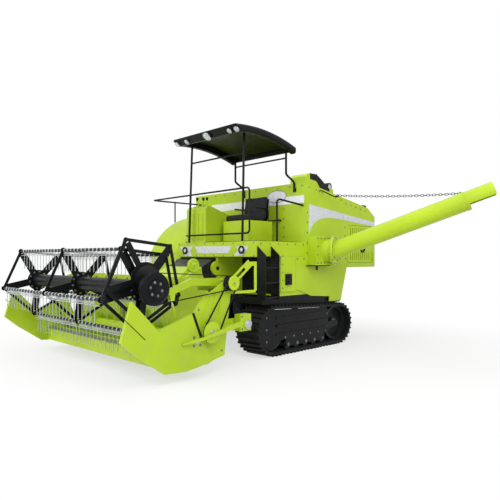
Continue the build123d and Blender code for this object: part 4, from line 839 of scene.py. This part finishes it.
lenses, lamp_rims = bmesh.new(), bmesh.new()
for x, r in CANOPY_LAMPS:
    spot = face_middle + X * x + down * 0.028
    turned(lenses, spot, down, [
        (0, r * 0.86), (0.003, r * 0.84), (0.008, r * 0.6), (0.011, r * 0.3), (0.012, 0)])
    turned(lamp_rims, spot, down, [
        (-0.006, r * 0.9), (-0.006, r), (0.004, r), (0.006, r * 0.96), (0.004, r * 0.86),
        (-0.002, r * 0.85)])
turned(lenses, WORK_LAMP + WORK_WAY * 0.012, WORK_WAY, [
    (0, 0.066), (0.004, 0.062), (0.012, 0.04), (0.016, 0.02), (0.017, 0)])
for x in DECK_LAMPS_X:
    spot = at(x, DECK_FRONT - 0.025, DECK_LAMP_Z)
    turned(lenses, spot, -Y, [(0, 0.03), (0.003, 0.028), (0.006, 0.014), (0.0065, 0)])
    turned(lamp_rims, spot, -Y, [(0, 0.036), (0.005, 0.034), (0.005, 0.03), (0, 0.029)])
piece("lamp_glasses", lenses, LENS, smooth=True)
piece("lamp_rims", lamp_rims, CHROME_RIM, smooth=True)

housings = bmesh.new()
turned(housings, WORK_LAMP, WORK_WAY, [
    (-0.11, 0), (-0.11, 0.04), (-0.095, 0.065), (-0.06, 0.08), (0.0, 0.085), (0.02, 0.085),
    (0.024, 0.08), (0.02, 0.07), (0.008, 0.067)])
for x in DECK_LAMPS_X:
    turned(housings, at(x, DECK_FRONT - 0.024, DECK_LAMP_Z), -Y, [
        (0, 0.066), (0.008, 0.066), (0.012, 0.062), (0.012, 0.05), (0.001, 0.036)])
piece("lamp_housings", housings, BLACK, smooth=True)
bracket = bmesh.new()
plate(bracket, [at(1.40, 0.72, 2.76), at(1.49, 0.72, 2.76), at(1.49, 0.72, 2.83),
                at(1.45, 0.74, 2.83), at(1.40, 0.74, 2.83)], Y * 0.11)
soften(bracket, 0.006, 3)
piece("lamp_bracket", bracket, LIME)

# %% [markdown]
# The elevator throws grain into the tank under a ribbed black hood. The hood is one folded sheet:
# its side outline is given a thickness, and raised ribs cross its top.

# %% Elevator hood
HOOD_X, HOOD_SPAN, SHEET, CHEEK = 1.125, 0.36, 0.022, 0.012
hood = bmesh.new()
top = [(0.16, 3.05), (0.34, 3.05), (0.46, 2.985), (0.76, 2.80)]
under = [(y, z - SHEET) for y, z in top][::-1]
plate(hood, side_view(HOOD_X, top + under), X * HOOD_SPAN)
cheek = top + [(0.76, 2.70), (0.46, 2.80), (0.34, 2.93), (0.16, 2.95)]
for x in (HOOD_X - 0.003, HOOD_X + HOOD_SPAN - 0.013):
    plate(hood, side_view(x, cheek), X * CHEEK)
for i in range(7):
    y, z = along((0.36, 3.045), (0.72, 2.83), i / 6)
    rib = [(0, 0.004), (0.004, 0.012), (0.346, 0.012), (0.35, 0.004)]
    turned(hood, at(HOOD_X + 0.005, y, z), X, rib, 12)
soften(hood, 0.004)
piece("elevator_hood", hood, BLACK)

# %% [markdown]
# The driver's seat is foam under vinyl: crowned in the middle, pulled in between its corners, sewn
# down in channels and edged with piping. Each pad starts as a cube with a fine grid, whose points
# are rounded, crowned and channelled, and a subdivision smooths them.

# %% Seat cushions
VINYL = (rubber("seat_vinyl_grain", "#1B1C1F", "#34353A"), "seat_vinyl")
PULL_IN, CHANNEL_WIDE, CHANNEL_DEEP = 0.035, 0.05, 0.011
WELT_R, WELT_IN, WELT_DOWN, WELT_CORNER = 0.006, 0.012, 0.014, 0.32


def pad_mesh(name, middle, half, axes, crown, channels):
    """A sewn pad: half sizes along its three axes, the last one pointing out of its soft face."""
    shape = bmesh.new()
    bmesh.ops.create_cube(shape, size=2)
    bmesh.ops.subdivide_edges(shape, edges=shape.edges[:], cuts=19, use_grid_fill=True)
    corner = min(half) * 0.75
    for vert in shape.verts:
        a, b, c = vert.co
        full = Vector([s * h for s, h in zip(vert.co, half)])
        core = Vector([max(-(h - corner), min(h - corner, f)) for f, h in zip(full, half)])
        rim = full - core
        spot = core + (rim.normalized() * corner if rim.length > 1e-9 else rim)
        spot.x *= 1 - PULL_IN * (1 - b * b)
        spot.y *= 1 - PULL_IN * (1 - a * a)
        if c > -0.5:
            spot.z += crown * (1 - a * a) * (1 - b * b) * (c + 0.5) / 1.5
        if c > 0.3:
            sink = sum(exp(-((b - line) / CHANNEL_WIDE) ** 2) for line in channels)
            spot.z -= CHANNEL_DEEP * min(sink, 1) * (1 - a ** 6)
        vert.co = middle + axes[0] * spot.x + axes[1] * spot.y + axes[2] * spot.z
    mesh = bpy.data.meshes.new(name)
    bmesh.ops.recalc_face_normals(shape, faces=shape.faces[:])
    shape.to_mesh(mesh)
    shape.free()
    return mesh


def subdivided(name, mesh):
    """The mesh with one level of subdivision applied."""
    draft = add_object(name + "_draft", mesh)
    smooth = draft.modifiers.new("smooth", "SUBSURF")
    smooth.levels = smooth.render_levels = 1
    done = realised(draft)
    done.shade_smooth()
    return done


def pad(name, middle, half, axes, crown, channels):
    """A cushion with the welt that is sewn round it."""
    mesh = subdivided(name, pad_mesh(name, middle, half, axes, crown, channels))
    made = rides(name, mesh, VINYL)
    loop = []
    for a in turns(64):
        x, y = (copysign(abs(v) ** WELT_CORNER, v) * (h - WELT_IN)
                for v, h in ((cos(a), half[0]), (sin(a), half[1])))
        loop.append(middle + axes[2] * (half[2] - WELT_DOWN)
                    + axes[0] * x * (1 - 0.03 * (1 - (y / half[1]) ** 2))
                    + axes[1] * y * (1 - 0.03 * (1 - (x / half[0]) ** 2)))
    wire(name + "_welt", [loop], WELT_R, VINYL, closed=True)
    return made


SEAT_X, RECLINE = 0.565, radians(8)
BACK_UP = Vector((0, sin(RECLINE), cos(RECLINE)))
cushion = pad("seat_cushion", at(SEAT_X, -0.53, 2.272), (0.27, 0.225, 0.05), (X, Y, Z),
              0.022, (-0.5, 0, 0.5))
pad("seat_back", at(SEAT_X, -0.262, 2.46), (0.262, 0.205, 0.042),
    (X, BACK_UP, X.cross(BACK_UP)), 0.014, (-0.45, 0.05, 0.55))
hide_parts("seat")

# %% [markdown]
# A pressed steel pan and back plate carry the cushions, and two bent bars are the armrests.

# %% Seat pan and armrests
tray = bmesh.new()
plate(tray, top_view(2.2205, oblong(0.31, -0.735, 0.82, -0.20)), Z * 0.012)
plate(tray, [at(0.33, -0.205, 2.23), at(0.80, -0.205, 2.23), at(0.80, -0.15, 2.63),
             at(0.33, -0.15, 2.63)], -Y * 0.012)
soften(tray, 0.003)
piece("seat_pan", tray, BLACK)
ARM = [(-0.22, 2.26), (-0.22, 2.42), (-0.27, 2.45), (-0.52, 2.45)]
wire("seat_armrests", [side_view(x, ARM) for x in (0.30, 0.83)], 0.016, BLACK)

# %% [markdown]
# A studded rubber mat covers the deck, so that a muddy boot does not slip. Its studs are one low
# cone on a grid, at a fixed pitch.

# %% Deck mat
MAT_RUBBER = (rubber("deck_mat", "#202123", "#5C5548"), "rubber")
MAT_LEVEL, MAT_THICK, STUD_LEVEL, STUD_PITCH, STUD_EDGE = 1.8405, 0.005, 1.848, 0.045, 0.02
studs = Growth("studs", {"Radius": 0.011, "Height": 0.005})
STUDS = studs.close(studs.on_points(studs.node("MeshCone", {
    "Vertices": 12, "Radius Top": studs.times(studs.start["Radius"], 0.75),
    "Radius Bottom": studs.start["Radius"], "Depth": studs.start["Height"]})["Mesh"]))
mat, seeds = bmesh.new(), []
for x0, y0, x1, y1 in ((0.16, -1.15, 1.44, -0.79), (0.92, -0.76, 1.44, -0.02)):
    plate(mat, top_view(MAT_LEVEL, oblong(x0, y0, x1, y1)), Z * MAT_THICK)
    across_x, across_y = int((x1 - x0) / STUD_PITCH), int((y1 - y0) / STUD_PITCH)
    seeds += [(at(x0 + STUD_EDGE + i * STUD_PITCH, y0 + STUD_EDGE + j * STUD_PITCH, STUD_LEVEL),
               Z, 1.0) for i in range(across_x) for j in range(across_y)]
soften(mat, 0.002)
piece("deck_mat", mat, MAT_RUBBER)
grow("deck_mat_studs", STUDS, seeds, MAT_RUBBER)

# %% [markdown]
# The engine's radiator shows through the slots of its door: a frame with thin upright fins at an
# even pitch, crossed by a few tubes.

# %% Radiator
RADIATOR = (metal("radiator_core", "#4B4E50", "#2C2E30", 0.5, metallic=0.6), "dark_engine")
CORE_X, CORE_REACH, CORE_Y, CORE_Z = 1.35, 1.392, (1.435, 2.115), (1.53, 2.21)
FIN_PITCH, FIN_COUNT, RAIL, POST = 0.0105, 60, 0.03, 0.025
slat = Growth("slats", {"Thick": 0.002, "Deep": 0.02, "Tall": 0.6})
size = slat.node("ShaderNodeCombineXYZ", {
    "X": slat.start["Deep"], "Y": slat.start["Thick"], "Z": slat.start["Tall"]})[0]
SLATS = slat.close(slat.on_points(slat.node("MeshCube", {"Size": size})["Mesh"]))
fins = [(at(1.362, 1.46 + FIN_PITCH * i, 1.87), Z, 1.0) for i in range(FIN_COUNT)]
grow("radiator_fins", SLATS, fins, RADIATOR, Thick=0.002, Deep=0.018, Tall=0.62)
core = bmesh.new()
for y in (CORE_Y[0], CORE_Y[1] - POST):
    plate(core, front_view(y, oblong(CORE_X, CORE_Z[0], CORE_REACH, CORE_Z[1])), Y * POST)
for z in (CORE_Z[0], CORE_Z[1] - RAIL):
    plate(core, top_view(z, oblong(CORE_X, CORE_Y[0], CORE_REACH, CORE_Y[1])), Z * RAIL)
soften(core, 0.004)
piece("radiator_frame", core, RADIATOR)
tubes = [side_view(1.37, [(1.45, z), (2.1, z)]) for z in [1.60 + 0.075 * i for i in range(8)]]
wire("radiator_tubes", tubes, 0.006, RADIATOR)

# %% [markdown]
# Pressed louvres let the engine's air out at the back and on the right, and grab handles sit by
# the rear corners. A louvre is a wedge: its profile is pushed along the wall. Two bent bars on the
# tank's front are its latches.


# %% Louvres and handles
def louvre(shape, spot, out, way, length, tall=0.034, deep=0.016):
    """A pressed louvre, its middle at the spot and its lip towards out."""
    foot = spot - way * length / 2
    lip = foot + out * deep
    plate(shape, [foot, lip, foot + out * deep * 0.8 + Z * tall * 0.25, foot + Z * tall],
          way * length)


vents = bmesh.new()
for i in range(8):
    for x in (-0.5, 0.5):
        louvre(vents, at(x, HOOD_REAR, 1.62 + 0.07 * i), Y, X, 0.62)
    for y in (1.45, 1.92):
        louvre(vents, at(-BODY_SIDE, y, 1.56 + 0.075 * i), -X, Y, 0.34)
soften(vents, 0.003)
piece("pressed_louvres", vents, LIME)

GRIP = [(HOOD_REAR, 1.70), (2.285, 1.715), (2.295, 1.74), (2.295, 1.98), (2.285, 2.005),
        (HOOD_REAR, 2.02)]
wire("rear_handles", [side_view(x, GRIP) for x in (1.2, -1.2)], 0.011, BLACK)
latches = [top_view(2.25, [(0.66, TANK_FRONT), (0.665, -0.02), (0.925, -0.02), (0.93, TANK_FRONT)]),
           [at(0.52, TANK_FRONT, 2.05), at(0.53, -0.02, 2.055), at(0.6, -0.02, 2.09),
            at(0.61, TANK_FRONT, 2.095)]]
wire("tank_latches", latches, 0.013, BLACK)

# %% [markdown]
# In the open grain tank a folded ridge covers the bottom auger, and three ties hold the walls
# together above.

# %% Grain tank's ridge and ties
RIDGE = [(0.43, 2.095), (0.585, 2.21), (0.74, 2.095), (0.725, 2.092), (0.585, 2.19), (0.445, 2.092)]
RIDGE_FOOT = [(0.44, 2.092), (0.73, 2.092), (0.6, 2.2), (0.57, 2.2)]
TIE = [(0.03, 2.70), (1.14, 2.60), (1.14, 2.64), (0.03, 2.74)]
ridge = bmesh.new()
plate(ridge, side_view(-1.45, RIDGE), X * 2.5)
for x in (-1.1, -0.3, 0.5):
    plate(ridge, side_view(x, RIDGE_FOOT), X * 0.01)
    plate(ridge, side_view(x, TIE), X * 0.03)
soften(ridge, 0.003)
piece("bin_ridge_and_ties", ridge, LIME)

# %% [markdown]
# Small black fittings sit on the left side: a switch box with two round buttons, a shelf with its
# web, a cap on the hood, and the round outlet in the engine's door. The shelf and its web are black
# as painted shade under the unloader's elbow, and the outlet's closed black face is painted shade
# inside its hole.

# %% Switch box, shelf and outlet
fittings = bmesh.new()
plate(fittings, side_view(BODY_SIDE, oblong(-0.52, 1.13, -0.38, 1.31)), X * 0.03)
plate(fittings, [at(1.40, 1.88, 2.568), at(1.48, 1.88, 2.568), at(1.48, 1.96, 2.56),
                 at(1.40, 1.96, 2.56)], Z * 0.05)
# The shelf and its web are black as painted shade under the unloader's elbow.
plate(fittings, top_view(1.432, [(1.5, 0.02), (1.5, 0.62), (1.61, 0.56), (1.61, 0.08)]), Z * 0.012)
plate(fittings, side_view(BODY_SIDE, oblong(0.30, 1.36, 0.34, 1.432)), X * 0.012)
soften(fittings, 0.005)
for z in (1.265, 1.175):
    turned(fittings, at(BODY_SIDE + 0.03, -0.45, z), X, [
        (0, 0.026), (0.004, 0.026), (0.006, 0.023), (0.006, 0.014), (0.016, 0.013),
        (0.018, 0)], 24)
piece("switch_box_and_shelf", fittings, BLACK)

# The outlet's closed black face is painted shade inside its hole.
outlet = bmesh.new()
turned(outlet, at(BODY_SIDE, 1.79, 1.77), X, [
    (0, 0.095), (0.012, 0.095), (0.016, 0.09), (0.016, 0.072), (-0.012, 0.07), (-0.012, 0)], 40)
piece("door_outlet", outlet, BLACK, "engine_door", smooth=True)

# %% [markdown]
# The levers end in turned knobs and stand in rubber boots. A small panel on the console carries
# three round instruments with blank faces.

# %% Levers and instruments
KNOB = [(0, 0.012), (0.012, 0.019), (0.03, 0.0245), (0.048, 0.0235), (0.058, 0.014), (0.06, 0)]
BOOT = [(0, 0.034), (0.012, 0.032), (0.03, 0.016), (0.036, 0.011)]
knobs = bmesh.new()
for x, y in ((-0.3, -0.91), (-0.2, -0.85), (-0.12, -0.83)):
    turned(knobs, at(x, y, 2.622), Z, KNOB, 24)
    turned(knobs, at(x, -0.85, 2.445), Z, BOOT, 24)
piece("lever_knobs", knobs, VINYL, smooth=True)

panel = bmesh.new()
plate(panel, [at(-0.38, -1.0, 2.489), at(-0.38, -0.92, 2.484), at(0.08, -0.92, 2.484),
              at(0.08, -1.0, 2.489)], Z * 0.006)
soften(panel, 0.002)
for x in (-0.3, -0.17, -0.04):
    turned(panel, at(x, -0.96, 2.492), Z, [
        (0, 0.032), (0.01, 0.032), (0.013, 0.029), (0.010, 0.026), (0.010, 0)])
piece("instrument_panel", panel, BLACK)

# %% [markdown]
# The header's drive side shows turned steel: bright caps on the shafts, and stepped faces on the
# reel's pulley, the jackshaft's disc and the spoked idler. All but the reel's move with the header
# when it lifts.

# %% Drive details
CAPS = ((KNIFE_DRIVE, X, 0.066), ((1.94, -2.47, 0.605), X, 0.03), (AUGER_SHAFT, X, 0.035),
        ((-1.85, -2.65, 0.5), -X, 0.035), ((1.238, -2.217, 1.463), X, 0.022),
        ((1.957, -2.085, 1.236), X, 0.02))
caps = bmesh.new()
for spot, way, r in CAPS:
    turned(caps, at(*spot) - way * 0.001, way, [
        (0, r), (0.005, r), (0.009, r * 0.9), (0.009, r * 0.55), (0.014, r * 0.5),
        (0.015, 0)], 36)
piece("shaft_caps", caps, CHROME_RIM, "header", smooth=True)

reel_face = bmesh.new()
turned(reel_face, at(1.879, *REEL_AXIS), X, [
    (0, 0.198), (0.008, 0.198), (0.012, 0.19), (0.003, 0.178), (0.003, 0.15), (0.012, 0.143),
    (0.012, 0.125), (0.004, 0.116), (0.004, 0.108), (0.016, 0.102), (0.016, 0.05),
    (0.026, 0.045), (0.026, 0.024), (0.034, 0.02), (0.035, 0)], 56)
piece("reel_pulley_face", reel_face, BLACK, "reel", smooth=True)

jack_face = bmesh.new()
turned(jack_face, at(1.939, -2.085, 1.236), X, [
    (0, 0.1), (0.006, 0.1), (0.01, 0.094), (0.01, 0.07), (0.004, 0.062), (0.004, 0.04),
    (0.018, 0.034), (0.019, 0)], 40)
piece("jack_disc_face", jack_face, LIME, "header", smooth=True)

idler_face, idler = bmesh.new(), at(1.237, -2.217, 1.463)
turned(idler_face, idler, X, [
    (-0.004, 0.1), (0.002, 0.1), (0.006, 0.09), (0.001, 0.08), (0.001, 0.045), (0.01, 0.035),
    (0.012, 0)], 40)
for a in turns(3, 0.4):
    way = Y * cos(a) + Z * sin(a)
    foot, half_width = idler + way * 0.04, X.cross(way) * 0.009
    tip = foot + way * 0.045
    plate(idler_face, [foot - half_width, foot + half_width, tip + half_width,
                       tip - half_width], X * 0.007)
piece("idler_face", idler_face, LIME, "header", smooth=True)

# %% [markdown]
# Two dark strips lie on each end panel of the header: a wide one over its rear seam, and a narrow
# one that is painted shade in the crease where the front is folded.

# %% Divider strips
HEADER_SIDE = 1.85
# The narrow strip at the front fold is painted shade in its crease.
edge = bmesh.new()
for side in (1, -1):
    for (y0, z0), (y1, z1), half in (((-2.721, 0.872), (-2.572, 0.509), 0.02),
                                     ((-3.735, 0.89), (-3.44, 0.611), 0.006)):
        strip = [(y0 - half, z0), (y1 - half, z1), (y1 + half, z1), (y0 + half, z0)]
        plate(edge, side_view(side * HEADER_SIDE, strip), X * side * 0.004)
piece("divider_strips", edge, (FINISH["rubber"], "rubber"), "header")

# %% [markdown]
# A black sheet cover with pressed ribs closes the outer side of each track and follows the
# sprocket's round. A skirt fills the gap between the chassis and the track's upper run.

# %% Track covers and skirts
COVER_X, COVER_THICK, COVER_FACE, SKIRT_X = 1.471, 0.012, 1.484, 1.44
ROUND_Y, ROUND_Z, ROUND_LONG, ROUND_TALL = -0.815, 0.42, 0.3, 0.322
COVER = []
for i in range(17):
    a = radians(90 + 180 * i / 16)
    COVER.append((ROUND_Y + ROUND_LONG * cos(a), ROUND_Z + ROUND_TALL * sin(a)))
COVER += [(-0.60, 0.235), (0.62, 0.235), (0.68, 0.30), (0.68, 0.63), (0.62, 0.688)]
SKIRT = [(-0.82, 0.824), (0.96, 0.756), (1.1, 0.756), (1.1, 0.93), (-1.0, 0.93), (-1.0, 0.824)]
COVER_ROWS = (((-0.95, 0.62), (-0.95, 0.24), 3), ((-0.5, 0.27), (0.6, 0.27), 6),
              ((0.64, 0.34), (0.64, 0.58), 3))
covers, cover_bolts = bmesh.new(), []
for side in (1, -1):
    plate(covers, side_view(side * COVER_X, COVER), X * side * COVER_THICK)
    for z, deep in ((0.60, 0.012), (0.47, 0.02), (0.33, 0.012)):
        rib = oblong(-0.72, z - 0.018, 0.64, z + 0.018)
        plate(covers, side_view(side * (COVER_X + COVER_THICK), rib), X * side * deep)
    plate(covers, side_view(side * SKIRT_X, SKIRT), X * side * 0.01)
    cover_bolts += rows(side_view, side * COVER_FACE, X * side, COVER_ROWS)
soften(covers, 0.005)
piece("track_covers", covers, BLACK)
grow("track_cover_bolts", BOLT, cover_bolts, BOLT_STEEL)

# %% [markdown]
# A black wall with three pressed beads closes the body below the deck, and its black also paints
# the deep shade there. A curved black sheet by the side of the deck, next to the body's round
# front, is painted shade on that front's end face.

# %% Front wall
WALL_Y, WALL_THICK, END_SHADE_X = -0.621, 0.01, -0.5
# The black sheet on this outline is painted shade on the end face of the body's round front.
END_SHADE = [(-1.03, 1.86), (-0.93, 1.92), (-0.79, 2.06), (-0.55, 2.2), (-0.3, 2.31), (-0.02, 2.37),
         (-0.02, 1.86)]
wall = bmesh.new()
# The wall's black also paints the deep shade below the deck.
plate(wall, front_view(WALL_Y, oblong(0.6, 0.98, 1.46, 1.585)), -Y * WALL_THICK)
for z in (1.12, 1.28, 1.44):
    bead = oblong(0.64, z - 0.02, 1.42, z + 0.02)
    plate(wall, front_view(WALL_Y - WALL_THICK, bead), -Y * 0.012)
soften(wall, 0.004)
plate(wall, side_view(END_SHADE_X, END_SHADE), X * 0.006)
piece("front_wall", wall, BLACK)
